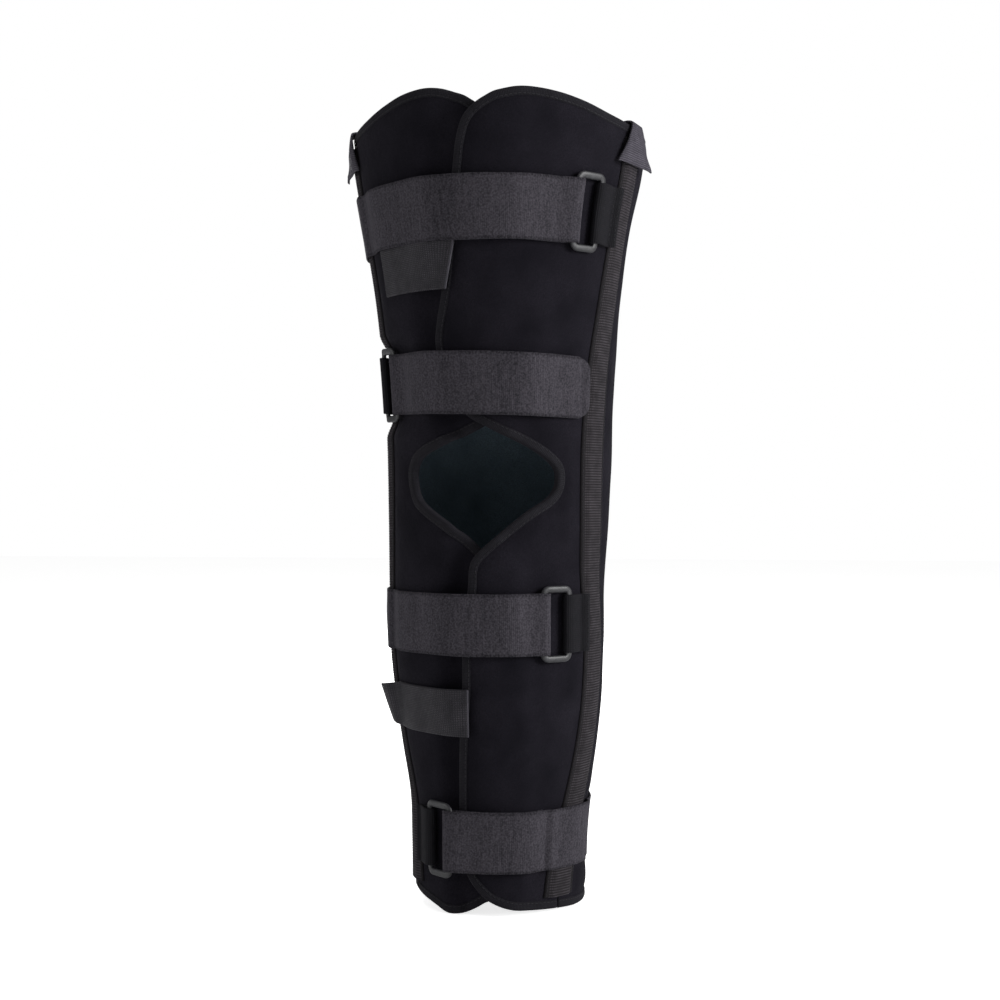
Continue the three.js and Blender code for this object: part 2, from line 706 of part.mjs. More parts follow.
// Works out where a strap, its ring and its anchor lie.
function layStrap(row) {
  const z = heightOf(row.level);
  const perDegree = millimetresPerDegree(z);
  const towards = Math.sign(row.ring - row.sewn);
  const barStep = (RING_WIDTH - RING_BAR) / 2 / perDegree;
  const bar = row.ring - towards * barStep;
  const farBar = row.ring + towards * barStep;
  const rest = restOf(z, STRAP_WIDTH);
  const turn = turnRound(STRAP);
  const farTurn = turnRound(ANCHOR);
  const side = Math.sign(row.ring);
  const casingEdge = seamAt(z, side) - side * degreesFor(CASING_WIDTH / 2 + GAP, z);
  return {
    ...row, z, rest, towards, bar, farBar, turn, farTurn,
    barOffset: rest(bar) + STRAP / 2 + turn.rise,
    farOffset: rest(farBar) + ANCHOR / 2 + farTurn.rise,
    anchorEnd: row.anchor ?? casingEdge,
    slope: Math.tan(THREE.MathUtils.degToRad(row.tilt)) * perDegree,
  };
}

// Straps have a rounded end, by a half width that shrinks over the corner. The shares are of the
// corner that is left at each station.
const CORNER_SHARES = [0.7, 0.35, 0.12];

function strapSolid(strap) {
  const path = hairpin({ ...strap, thickness: STRAP, station: STATION });
  const perDegree = millimetresPerDegree(strap.z);
  const tail = path[path.length - 1].angle;
  const corner = CORNER_SHARES.map((share) => {
    const angle = tail + strap.towards * share * STRAP_CORNER / perDegree;
    return { angle, offset: path[path.length - 1].offset };
  });
  const body = path.filter((point, i) => {
    const left = Math.abs(point.angle - tail) * perDegree;
    return i < path.length / 2 || left > STRAP_CORNER || left === 0;
  });
  body.splice(body.length - 1, 0, ...corner);
  const stations = body.map((point, i) => {
    const left = i < body.length / 2 ? STRAP_CORNER : Math.abs(point.angle - tail) * perDegree;
    const missing = Math.max(STRAP_CORNER - left, 0);
    const round = STRAP_CORNER - Math.sqrt(STRAP_CORNER ** 2 - missing ** 2);
    const middle = strap.z + strap.slope * (point.angle - strap.ring);
    const reach = STRAP_WIDTH / 2 - round;
    return { low: { ...point, z: middle - reach }, high: { ...point, z: middle + reach } };
  });
  return ribbon(stations, STRAP);
}

function anchorSolid(strap) {
  const anchorRest = (angle) => Math.max(strap.rest(angle), STRAP_GAP);
  const path = hairpin({
    sewn: strap.anchorEnd, bar: strap.farBar, end: strap.anchorEnd, barOffset: strap.farOffset,
    turn: strap.farTurn, rest: anchorRest, thickness: ANCHOR, z: strap.z, station: ANCHOR_STATION,
  });
  const stations = path.map((point) => {
    const middle = strap.z + strap.slope * (point.angle - strap.ring);
    return {
      low: { ...point, z: middle - ANCHOR_WIDTH / 2 },
      high: { ...point, z: middle + ANCHOR_WIDTH / 2 },
    };
  });
  return ribbon(stations, ANCHOR);
}

// Along a tab, the share where its slanted cut starts and the share where its free end has settled,
// and how much of the flare the low corner has.
const CUT_START = 0.8;
const FLARE_END = 0.22;
const LOW_FLARE = 0.3;

function tabSolid(tab) {
  const z = heightOf(tab.level);
  const rest = restOf(z, TAB_HEIGHT);
  const stations = steps(tab.left, tab.right, STATION).map((angle) => {
    const share = (angle - tab.left) / (tab.right - tab.left);
    const cut = tab.slant * ramp(share, CUT_START, 1);
    const free = 1 - ramp(share, 0, FLARE_END);
    const half = TAB_HEIGHT / 2 - tab.taper * free;
    const offset = (at, flare) => rest(at) + TAB / 2 + flare * free;
    return {
      low: { angle: angle - cut, offset: offset(angle - cut, LOW_FLARE * tab.flare), z: z - half },
      high: { angle: angle + cut, offset: offset(angle + cut, tab.flare), z: z + half },
    };
  });
  return ribbon(stations, TAB);
}

// Tape folded over the top of a casing, narrow at the hem and wide below. A section runs from the
// outer leg over the hem to the inner leg and back, and the far half of the cap stands off a little.
const FLARE_START = 0.35;
const CAP_WAIST = 0.5;

function capSolid(side) {
  const sections = [];
  for (let i = 0; i <= CAP_COLUMNS; i += 1) {
    const share = i / CAP_COLUMNS;
    const turnOf = (width) => seamAt(TOP, side) + side * degreesFor((share - 0.5) * width, TOP);
    const [wide, narrow] = [turnOf(CAP_WIDTH), turnOf(CAP_TOP_WIDTH)];
    const hem = hemmedHeight(side > 0 ? 'over' : 'under', narrow, TOP);
    const middle = (wide + narrow) / 2;
    const rest = Math.max(...[wide, middle].map(restOf(hem - CAP_DROP / 2, CAP_DROP))) + TAPE_STACK;
    const neck = TAPE_STACK + GAP;
    const inside = -FOAM - TAPE_STACK - 2 * STRAP_GAP;
    const flare = CAP_FLARE * ramp(share, FLARE_START, 1);
    const over = hem + TAPE_STACK + GAP;
    const [waist, foot, tuck] = [hem - CAP_WAIST * CAP_DROP, hem - CAP_DROP, hem - CAP_TUCK];
    sections.push([
      onLeg(wide, rest + CAP + flare, foot), onLeg(middle, rest + CAP, waist),
      onLeg(narrow, neck + CAP, over - GAP), onLeg(narrow, neck, over + CAP),
      onLeg(narrow, inside, over + CAP), onLeg(narrow, inside - CAP, over), onLeg(narrow, inside - CAP, tuck),
      onLeg(narrow, inside, tuck), onLeg(narrow, inside, over - GAP), onLeg(narrow, inside + GAP, over),
      onLeg(narrow, neck - GAP, over), onLeg(narrow, neck, over - GAP),
      onLeg(middle, rest, waist), onLeg(wide, rest + flare, foot),
    ]);
  }
  return sweep(sections);
}

for (const [name, side] of [['left', -1], ['right', 1]]) {
  add(`${name}_stay_casing`, casingSolid(side), COLOURS.casing, 0.85);
  add(`${name}_casing_cap`, capSolid(side), COLOURS.cap, 0.8);
}

for (const row of STRAPS) {
  const strap = layStrap(row);
  add(`${row.name}_strap`, strapSolid(strap), COLOURS.strap, 0.8);
  add(`${row.name}_ring`, ringSolid(strap), COLOURS.ring, 0.35);
  add(`${row.name}_anchor`, anchorSolid(strap), COLOURS.anchor, 0.8);
}

for (const tab of TABS) {
  add(`${tab.name}_tab`, tabSolid(tab), COLOURS.tab, 0.85);
}

export default group;
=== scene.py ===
"""Looks of a straight knee immobilizer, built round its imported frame.

A foam wrap of two front flaps and a back panel, bound with edge tape, with a stay casing over each
side seam, four hook and loop straps with their rings and anchors, and two bridging tabs. Each piece
is bent round the leg form of its solid and stands for that solid. Metres, +Z up the leg, and the
kneecap opening faces -Y.
"""

import math

import bpy
import numpy as np
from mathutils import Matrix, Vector, noise


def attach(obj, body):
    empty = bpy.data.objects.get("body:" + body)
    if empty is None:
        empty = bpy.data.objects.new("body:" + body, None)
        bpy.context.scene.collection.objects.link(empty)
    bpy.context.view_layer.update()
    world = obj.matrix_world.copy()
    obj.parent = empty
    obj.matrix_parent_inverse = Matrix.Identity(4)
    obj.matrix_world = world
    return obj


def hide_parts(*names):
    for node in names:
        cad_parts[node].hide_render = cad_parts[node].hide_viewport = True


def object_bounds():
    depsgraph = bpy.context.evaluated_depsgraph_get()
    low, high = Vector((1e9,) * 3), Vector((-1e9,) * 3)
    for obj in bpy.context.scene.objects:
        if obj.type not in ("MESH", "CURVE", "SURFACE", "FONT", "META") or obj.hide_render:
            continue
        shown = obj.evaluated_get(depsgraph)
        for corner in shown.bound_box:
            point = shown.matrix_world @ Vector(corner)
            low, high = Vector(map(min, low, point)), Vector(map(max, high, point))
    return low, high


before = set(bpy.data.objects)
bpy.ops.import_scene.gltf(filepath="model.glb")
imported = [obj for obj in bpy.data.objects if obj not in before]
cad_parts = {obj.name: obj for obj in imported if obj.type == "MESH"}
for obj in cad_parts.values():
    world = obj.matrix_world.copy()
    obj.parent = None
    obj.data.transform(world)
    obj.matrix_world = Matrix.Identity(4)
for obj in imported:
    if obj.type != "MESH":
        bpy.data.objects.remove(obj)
cad_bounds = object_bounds()

# ---------------------------------------------------------------- sizes of the part

MM = 0.001

THIGH_LENGTH = 240 * MM
CALF_LENGTH = 265 * MM
THIGH_WIDTH = 193.5 * MM
THIGH_DEPTH = 197 * MM
FOAM = 5 * MM
OPENING_WIDTH = 102 * MM
OPENING_HEIGHT = 77 * MM
HEM_DIP = 14 * MM
HEM_REACH = 60 * MM
OVERLAP_LIFT = 2.5 * MM

BINDING = 0.8 * MM
TAPE_GAP = 0.4 * MM
TAPE_STACK = TAPE_GAP + BINDING

CASING_WIDTH = 25 * MM
CASING_BORDER = 3.2 * MM
CASING_CLOTH = 1 * MM
CASING_RISE = 2.4 * MM
CASING_INSET = 7 * MM
CAP = 1 * MM
CAP_WIDTH = 43 * MM
CAP_TOP_WIDTH = 15 * MM
CAP_DROP = 24 * MM
CAP_TUCK = 14 * MM
CAP_FLARE = 4 * MM
CAP_WAIST = 0.5

STRAP_WIDTH = 37 * MM
STRAP = 1.4 * MM
STRAP_CORNER = 9 * MM
ANCHOR_WIDTH = 35 * MM
ANCHOR = 1.2 * MM
RING_WIDTH = 22 * MM
RING_BAR = 4.4 * MM
RING_THICKNESS = 2.6 * MM
RING_CORNER = 3.2 * MM
RING_PLAY = 0.9 * MM
TAB_HEIGHT = 28 * MM
TAB = 1.6 * MM

GAP = 0.3 * MM
SEAM_GAP = 1.4 * MM
STRAP_GAP = 0.4 * MM
RING_GAP = 0.5 * MM
UNDER_DIP = FOAM - OVERLAP_LIFT + 2 * TAPE_STACK + GAP

TOP = THIGH_LENGTH
BOTTOM = -CALF_LENGTH


def table(names, *rows):
    """Rows of numbers, as one array for each named column."""
    return dict(zip(names.split(), np.array(rows, float).T))


# The leg form. Level is -1 at the lowest hem, 0 at the knee and 1 at the top hem. Widths and the
# shift aside are shares of the thigh width, depths and the shift back of its depth.
FORM = table(
    "level width depth aside back",
    (-1.000, 0.568, 0.579, 0.000, 0.010),
    (-0.849, 0.570, 0.594, 0.000, 0.014),
    (-0.743, 0.589, 0.629, 0.004, 0.020),
    (-0.623, 0.639, 0.680, 0.001, 0.029),
    (-0.509, 0.678, 0.711, -0.003, 0.030),
    (-0.377, 0.704, 0.726, -0.008, 0.026),
    (-0.226, 0.709, 0.721, -0.007, 0.015),
    (-0.075, 0.724, 0.726, 0.000, 0.005),
    (0.158, 0.743, 0.741, 0.004, 0.000),
    (0.353, 0.769, 0.772, 0.001, 0.000),
    (0.519, 0.810, 0.822, -0.001, 0.000),
    (0.685, 0.870, 0.896, -0.004, 0.000),
    (0.851, 0.946, 0.964, -0.001, 0.000),
    (1.000, 1.000, 1.000, 0.000, 0.000),
)

# The seams between the flaps and the back panel, under the casings, in degrees from the front to
# each side.
SEAM = table(
    "level right left",
    (-1.00, 49, 64), (-0.90, 53, 68), (-0.74, 63, 75), (-0.62, 67, 78), (-0.47, 70, 80),
    (-0.35, 70, 80), (-0.19, 66, 78), (0.00, 62.5, 76), (0.15, 62, 76), (0.31, 64.5, 77),
    (0.49, 69.5, 79), (0.69, 72.5, 79), (1.00, 71, 75),
)

# The kneecap opening: rise as a share of its height above the knee's middle, and the edge of each
# flap as a share of its width from the front line.
OPENING = table(
    "rise over under",
    (-0.474, 0.009, -0.053), (-0.382, 0.087, -0.139), (-0.273, 0.191, -0.259),
    (-0.175, 0.294, -0.388), (-0.091, 0.404, -0.479), (0.000, 0.463, -0.515),
    (0.104, 0.474, -0.532), (0.182, 0.451, -0.521), (0.278, 0.358, -0.443),
    (0.364, 0.241, -0.283), (0.455, 0.086, -0.117), (0.526, -0.015, 0.000),
)

# The free edges past the opening: the way from its end to the hem as a share, and degrees.
UPPER_EDGES = table(
    "way over under",
    (0.027, -8.3, 6), (0.097, -15.5, 13), (0.172, -20.5, 18), (0.257, -22.3, 19),
    (0.401, -17.4, 16), (0.546, -13.5, 13), (0.666, -10.8, 10.5), (0.771, -8.9, 9),
    (0.855, -7.5, 7.5), (0.935, -4.6, 4), (0.978, 0.5, -0.5), (1.000, 6, -6),
)
LOWER_EDGES = table(
    "way over under",
    (0.037, -5.2, 4), (0.107, -6.3, 9), (0.190, -8, 11), (0.287, -9.5, 12), (0.383, -10.5, 13),
    (0.540, -14.2, 15), (0.700, -17.1, 17), (0.760, -17.3, 17), (0.825, -17, 17),
    (0.890, -14.5, 15), (0.943, -10, 11), (0.978, -4, 6), (1.000, 2, 1),
)

# How far the hems draw in, as shares of the hem dip, by degrees from the front to the flap's side.
HEMS = table(
    "angle over_top under_top over_bottom under_bottom",
    (-20, 0.43, 0.43, 0.70, 0.70),
    (2, 0.41, 0.43, 0.68, 0.58),
    (8, 0.30, 0.28, 0.50, 0.35),
    (14, 0.14, 0.06, 0.37, 0.16),
    (20, 0.11, 0.01, 0.30, 0.01),
    (30, 0.24, 0.14, 0.24, 0.01),
    (40, 0.46, 0.42, 0.21, 0.24),
    (55, 0.82, 0.80, 0.14, 0.45),
    (75, 1.00, 1.00, 0.04, 0.60),
    (120, 1.00, 1.00, 0.04, 0.30),
    (180, 1.00, 1.00, 0.10, 0.10),
)

# Straps, by the degrees where each is sewn on, where its ring lies and where its end lies. A strap
# climbs by its tilt, in degrees of slope. An anchor ends at the casing or at its own angle.
STRAPS = (
    dict(name="upper_thigh", level=0.703, tilt=0, sewn=-54, ring=46, end=-150, anchor=None),
    dict(name="lower_thigh", level=0.278, tilt=-1.6, sewn=44, ring=-66, end=53.5, anchor=-94),
    dict(name="upper_calf", level=-0.315, tilt=0, sewn=-52, ring=38.5, end=-150, anchor=None),
    dict(name="lower_calf", level=-0.825, tilt=0, sewn=34, ring=-31.2, end=150, anchor=-54),
)

# Tabs, from a left end to a right end in degrees. The right end is cut at a slant in degrees of
# arc. The left end stands off the wrap by its flare, and narrows by its taper at each edge.
TABS = (
    dict(name="upper", level=0.566, left=-55, right=-12.4, slant=2.6, flare=0, taper=0),
    dict(name="lower", level=-0.521, left=-73, right=-7.8, slant=0.5, flare=7 * MM, taper=2.3 * MM),
)

# The dent where the ring of the lower thigh strap pulls the wrap in: its middle, its reach to each
# side and how far it fades past that, up the leg and in degrees round it.
DENT = dict(level=0.278, angle=-76, depth=4.5 * MM, height=20 * MM, rise=14 * MM, turn=22, fade=30)

# ---------------------------------------------------------------- the leg form


def ramp(value, start, end):
    t = np.clip((value - start) / (end - start), 0, 1)
    return t * t * (3 - 2 * t)


def mix(a, b, share):
    return a + (b - a) * share


def curve(xs, ys):
    """A smooth curve through points, as a function of numbers or arrays."""
    last = len(xs) - 1
    before = np.maximum(np.arange(last + 1) - 1, 0)
    after = np.minimum(np.arange(last + 1) + 1, last)
    slopes = (ys[after] - ys[before]) / (xs[after] - xs[before])

    def at(value):
        x = np.clip(value, xs[0], xs[-1])
        i = np.clip(np.searchsorted(xs, x) - 1, 0, last - 1)
        span = xs[i + 1] - xs[i]
        t = (x - xs[i]) / span
        level = ys[i] * (1 + 2 * t) * (1 - t) ** 2 + ys[i + 1] * t * t * (3 - 2 * t)
        return level + span * (slopes[i] * t * (1 - t) ** 2 - slopes[i + 1] * t * t * (1 - t))

    return at


form = {name: curve(FORM["level"], FORM[name]) for name in ("width", "depth", "aside", "back")}
seam_angle = {1: curve(SEAM["level"], SEAM["right"]), -1: curve(SEAM["level"], SEAM["left"])}
hem_curve = {name: curve(HEMS["angle"], HEMS[name]) for name in HEMS if name != "angle"}


def level_of(z):
    return np.where(np.asarray(z) > 0, z / THIGH_LENGTH, z / CALF_LENGTH)


def height_of(level):
    return level * (THIGH_LENGTH if level > 0 else CALF_LENGTH)


def dent_at(angle, z):
    aside = np.abs(np.where(angle > 180, angle - 360, angle) - DENT["angle"])
    away = np.abs(z - height_of(DENT["level"]))
    left = 1 - ramp(aside, DENT["turn"], DENT["turn"] + DENT["fade"])
    return DENT["depth"] * left * (1 - ramp(away, DENT["height"], DENT["height"] + DENT["rise"]))


def on_leg(angle, offset, z):
    """Points at degrees from the front, at an offset out from the leg form and at a height."""
    angle, offset, z = np.broadcast_arrays(angle, offset, z)
    level = level_of(z)
    turn = np.radians(angle)
    out = offset - dent_at(angle, z)
    across = form["width"](level) * THIGH_WIDTH / 2 + out
    through = form["depth"](level) * THIGH_DEPTH / 2 + out
    x = form["aside"](level) * THIGH_WIDTH + across * np.sin(turn)
    y = form["back"](level) * THIGH_DEPTH - through * np.cos(turn)
    return np.stack([x, y, z], -1)


def per_degree(z):
    """Length of one degree round the leg at a height."""
    level = level_of(z)
    radius = (form["width"](level) * THIGH_WIDTH + form["depth"](level) * THIGH_DEPTH) / 4
    return np.radians(radius)


def degrees_for(length, z):
    return length / per_degree(z)


def seam_at(z, side):
    """The angle of the seam on the right (side 1) or the left (side -1)."""
    return side * seam_angle[side](level_of(z))


def edge_curve(flap):
    """The free edge of a flap in degrees, by height."""
    knee = OPENING["rise"] * OPENING_HEIGHT
    heights = np.concatenate([
        mix(knee[0], BOTTOM, LOWER_EDGES["way"][::-1]), knee,
        mix(knee[-1], TOP, UPPER_EDGES["way"]),
    ])
    angles = np.concatenate([
        LOWER_EDGES[flap][::-1], OPENING[flap] * degrees_for(OPENING_WIDTH, 0), UPPER_EDGES[flap],
    ])
    return curve(heights, angles)


edge_of = {"over": edge_curve("over"), "under": edge_curve("under")}

# How the two flaps lie on each other
CORNER_ZONE = 0.07
LAP_WINDOW = 12 * MM
LAP_NEAR = 3
LAP_FAR = 17


def lap_line(flap, z):
    """The edge of a flap without its rounded corners at the hems."""
    return edge_of[flap](np.clip(z, BOTTOM * (1 - CORNER_ZONE), TOP * (1 - CORNER_ZONE)))


def lap_limit(flap, z):
    lines = [lap_line(flap, z + share * LAP_WINDOW) for share in (-1, -0.5, 0, 0.5, 1)]
    return np.minimum.reduce(lines) if flap == "over" else np.maximum.reduce(lines)


def face_of(panel, angle, z):
    """Height of the outer face of a panel over the leg form."""
    if panel == "over":
        edge = lap_limit("under", z)
        return OVERLAP_LIFT * (1 - ramp(angle, edge + LAP_NEAR, edge + LAP_FAR))
    if panel == "under":
        edge = lap_limit("over", z)
        return -UNDER_DIP * ramp(angle, edge - LAP_FAR, edge - LAP_NEAR)
    return np.zeros_like(np.asarray(angle, float))


def hem_share(panel, end, angle):
    """How far a hem draws in. Degrees past the back count from the other side."""
    if panel == "over":
        return hem_curve["over_" + end](angle)
    if panel == "under":
        return hem_curve["under_" + end](-angle)
    return np.where(
        angle < 180, hem_curve["over_" + end](angle), hem_curve["under_" + end](360 - angle)
    )


def hemmed_height(panel, angle, z):
    near_top = ramp(z, TOP - HEM_REACH, TOP)
    near_bottom = ramp(-z, -BOTTOM - HEM_REACH, -BOTTOM)
    rise = hem_share(panel, "bottom", angle) * near_bottom
    drop = hem_share(panel, "top", angle) * near_top
    return z + HEM_DIP * (rise - drop)


def panel_span(panel, z):
    """Degrees between which a panel runs at one height."""
    left, right = seam_at(z, -1), seam_at(z, 1)
    slack = degrees_for(SEAM_GAP / 2, z)
    if panel == "over":
        return edge_of["over"](z), right - slack
    if panel == "under":
        return left + slack, edge_of["under"](z)
    return right + slack, 360 + left - slack


CASING_SHOULDER = 5 * MM
LAP_SHOULDER_LEFT = 24
LAP_SHOULDER_RIGHT = 18
LAP_MARGIN = 3


def rest_of(z, width):
    """Height at which a strap rests over the panels, the flaps' lap and the casings."""
    heights = np.array([z - width / 2, z, z + width / 2])
    over_edge = lap_line("over", heights).min() - LAP_MARGIN
    under_edge = lap_line("under", heights).max() + LAP_MARGIN
    lap = OVERLAP_LIFT + TAPE_STACK

    def rest(angle):
        angle = np.asarray(angle, float)
        up = ramp(angle, over_edge - LAP_SHOULDER_LEFT, over_edge)
        down = ramp(angle, under_edge, under_edge + LAP_SHOULDER_RIGHT)
        from_seams = [np.abs(angle - seam_at(at, side)) for at in heights for side in (1, -1)]
        from_seam = np.minimum.reduce(from_seams) * per_degree(z)
        shoulder = ramp(from_seam, CASING_WIDTH / 2, CASING_WIDTH / 2 + CASING_SHOULDER)
        return STRAP_GAP + lap * up * (1 - down) + (GAP + CASING_RISE) * (1 - shoulder)

    return rest


def turn_round(thickness):
    """A bar's turn: its rise to each side of the bar's middle, and its reach past it."""
    clear = RING_GAP + thickness / 2
    return RING_THICKNESS / 2 + clear, RING_BAR / 2 + clear


def lay_strap(row):
    """Works out where a strap, its ring and its anchor lie."""
    z = height_of(row["level"])
    towards = np.sign(row["ring"] - row["sewn"])
    bar_step = (RING_WIDTH - RING_BAR) / 2 / per_degree(z)
    bar = row["ring"] - towards * bar_step
    far_bar = row["ring"] + towards * bar_step
    rest = rest_of(z, STRAP_WIDTH)
    turn, far_turn = turn_round(STRAP), turn_round(ANCHOR)
    side = 1 if row["ring"] > 0 else -1
    casing_edge = seam_at(z, side) - side * degrees_for(CASING_WIDTH / 2 + GAP, z)
    return dict(
        row, z=z, rest=rest, towards=towards, bar=bar, far_bar=far_bar, turn=turn,
        far_turn=far_turn, bar_offset=rest(bar) + STRAP / 2 + turn[0],
        far_offset=rest(far_bar) + ANCHOR / 2 + far_turn[0],
        anchor_end=casing_edge if row["anchor"] is None else row["anchor"],
        slope=math.tan(math.radians(row["tilt"])) * per_degree(z),
    )


straps = [lay_strap(row) for row in STRAPS]


def middle_of(strap, angle):
    """Height of a strap's middle line at an angle, as it climbs round the leg."""
    return strap["z"] + strap["slope"] * (angle - strap["ring"])


# ---------------------------------------------------------------- mesh code

CLOTH = "cloth"  # the UV map of every piece: millimetres along and across the cloth


class Piece:
    """Collects the surfaces of one piece, and makes its mesh."""

    def __init__(self, name):
        self.name = name
        self.points, self.faces, self.cloth, self.paint = [], [], [], []
        self.count = 0

    def add(self, points, faces, cloth, paint):
        """Adds one closed body: points, faces of four corners, and each face's cloth corners and
        material. Faces that look inwards are turned round."""
        corners = (points - points.mean(0))[faces]
        a, b, c, d = (corners[:, i] for i in range(4))
        triple = np.einsum("ij,ij->i", a, np.cross(b, c)) + np.einsum("ij,ij->i", a, np.cross(c, d))
        if triple.sum() < 0:
            faces, cloth = faces[:, ::-1], cloth[:, ::-1]
        self.points.append(points)
        self.faces.append(faces + self.count)
        self.cloth.append(cloth)
        self.paint.append(np.broadcast_to(paint, len(faces)))
        self.count += len(points)

    def sweep(self, sections, cloth, paint=0, closed=False):
        """Joins equal closed sections into one body. The first half of each section runs along
        one side and the second half comes back, so that the ends close as strips. Cloth has one
        column more than a section, and where the body closes, one row more."""
        rows, loop = sections.shape[:2]
        index = np.arange(rows * loop).reshape(rows, loop)
        wrapped = looped(index)
        if closed:
            wrapped = looped(wrapped, 0)
        faces = four_corners(wrapped).reshape(-1, 4)
        uv = four_corners(cloth).reshape(-1, 4, 2)
        paints = np.broadcast_to(paint, (len(wrapped) - 1, loop)).reshape(-1)
        if not closed:
            k = np.arange(loop // 2 - 1)
            ends = np.stack([k, loop - 1 - k, loop - 2 - k, k + 1], -1)
            for row, order in ((0, 1), (rows - 1, -1)):
                faces = np.concatenate([faces, index[row][ends][:, ::order]])
                uv = np.concatenate([uv, cloth[row][ends][:, ::order]])
                paints = np.concatenate([paints, np.full(len(ends), paints[-1])])
        self.add(sections.reshape(-1, 3), faces, uv, paints)

    def stitches(self, line, out, paint, thickness=1.0):
        """Sews a row of thread stitches along a dense line of points, each half sunk in it."""
        way = way_along(line)
        first, last = (STITCH_PITCH - STITCH_LENGTH) / 2, way[-1] - STITCH_LENGTH
        starts = np.arange(first, last, STITCH_PITCH)
        stations = starts[:, None] + STITCH_LENGTH * STITCH_WAY[None]
        at = np.stack([np.interp(stations, way, line[:, i]) for i in range(3)], -1)
        up = np.stack([np.interp(stations, way, out[:, i]) for i in range(3)], -1)
        up /= np.linalg.norm(up, axis=-1, keepdims=True)
        along = at[:, -1:] - at[:, :1]
        along /= np.linalg.norm(along, axis=-1, keepdims=True)
        side = np.cross(up, along)
        swing = np.arange(STITCH_SIDES) * 2 * math.pi / STITCH_SIDES
        reach = STITCH_SWELL[:, None] * STITCH_WIDTH * thickness / 2
        aside = reach * np.cos(swing)
        above = reach * (np.sin(swing) * STITCH_FLATNESS + STITCH_LIFT)
        rings = at[:, :, None] + side[:, :, None] * aside[..., None]
        rings = rings + up[:, :, None] * above[..., None]
        index = np.arange(len(STITCH_WAY) * STITCH_SIDES).reshape(-1, STITCH_SIDES)
        faces = four_corners(looped(index)).reshape(-1, 4)
        half = STITCH_SIDES // 2
        lids = np.array([[0, half, half - 1, 1], [0, STITCH_SIDES - 1, half + 1, half]])
        faces = np.concatenate([faces, index[0][lids], index[-1][lids][:, ::-1]])
        for points in rings.reshape(len(rings), -1, 3):
            cloth = np.stack([points[:, 0] + points[:, 1], points[:, 2]], -1)[faces] / MM
            self.add(points, faces, cloth, paint)

    def build(self, materials, nodes):
        """Makes the object, which rides on the part and stands for its CAD nodes."""
        mesh = bpy.data.meshes.new(self.name)
        faces = np.concatenate(self.faces)
        mesh.from_pydata(np.concatenate(self.points).tolist(), [], faces.tolist())
        mesh.polygons.foreach_set("material_index", np.concatenate(self.paint).astype(np.int32))
        mesh.polygons.foreach_set("use_smooth", np.ones(len(faces), bool))
        layer = mesh.uv_layers.new(name=CLOTH)
        layer.data.foreach_set("uv", np.concatenate(self.cloth).astype(np.float32).ravel())
        for material in materials:
            mesh.materials.append(material)
        mesh.update()
        piece = placed(f"{self.name}_look", mesh)
        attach(piece, "root")
        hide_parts(*nodes)
        return piece


# A stitch: its length, the step to the next one, its rounded form from end to end, and how far it
# is pressed flat and stands out of the cloth.
STITCH_LENGTH = 2.2 * MM
STITCH_PITCH = 2.9 * MM
STITCH_WIDTH = 0.45 * MM
STITCH_SIDES = 6
STITCH_FLATNESS = 0.8
STITCH_LIFT = 0.25
STITCH_WAY = np.array([0, 0.12, 0.35, 0.65, 0.88, 1])
STITCH_SWELL = np.array([0.3, 0.8, 1, 1, 0.8, 0.3])


def placed(name, data):
    """Puts a mesh, a light or a camera into the scene as an object."""
    made = bpy.data.objects.new(name, data)
    bpy.context.scene.collection.objects.link(made)
    return made


def looped(grid, axis=1):
    """A grid whose first column, or row, comes once more at its end."""
    return np.concatenate([grid, np.take(grid, [0], axis)], axis)


def four_corners(grid):
    """The four corners of each cell of a grid of points or indices."""
    return np.stack([grid[:-1, :-1], grid[:-1, 1:], grid[1:, 1:], grid[1:, :-1]], 2)


def way_along(points):
    """Length from the first point to each point of a line."""
    return np.concatenate([[0], np.cumsum(np.linalg.norm(np.diff(points, axis=0), axis=1))])


def resampled(values, step):
    """Rows of numbers along a line on the leg, angle and height first, at even steps."""
    flat = np.stack([values[:, 0] * per_degree(values[:, 1]), values[:, 1]], -1)
    way = way_along(flat)
    even = np.linspace(0, way[-1], max(2, int(round(way[-1] / step))) + 1)
    return np.stack([np.interp(even, way, values[:, i]) for i in range(values.shape[1])], -1)


def smoothed(values, rounds):
    """Evens out a line, and keeps its two ends."""
    for _ in range(rounds):
        values = values.copy()
        values[1:-1] = (values[:-2] + 2 * values[1:-1] + values[2:]) / 4
    return values


def soft_noise(points, size):
    """A smooth noise from -1 to 1 for each point, with hills about as wide as size."""
    flat = points.reshape(-1, 3) / size
    values = np.array([noise.noise(Vector(point)) for point in flat])
    return values.reshape(points.shape[:-1])


# ---------------------------------------------------------------- materials


def tone(red, green, blue):
    """A colour from its screen values, 0 to 255."""
    linear = [v / 12.92 if v <= 0.04045 else ((v + 0.055) / 1.055) ** 2.4
              for v in (red / 255, green / 255, blue / 255)]
    return (*linear, 1)


FUZZ_TINT = (0.62, 0.58, 0.72, 1)


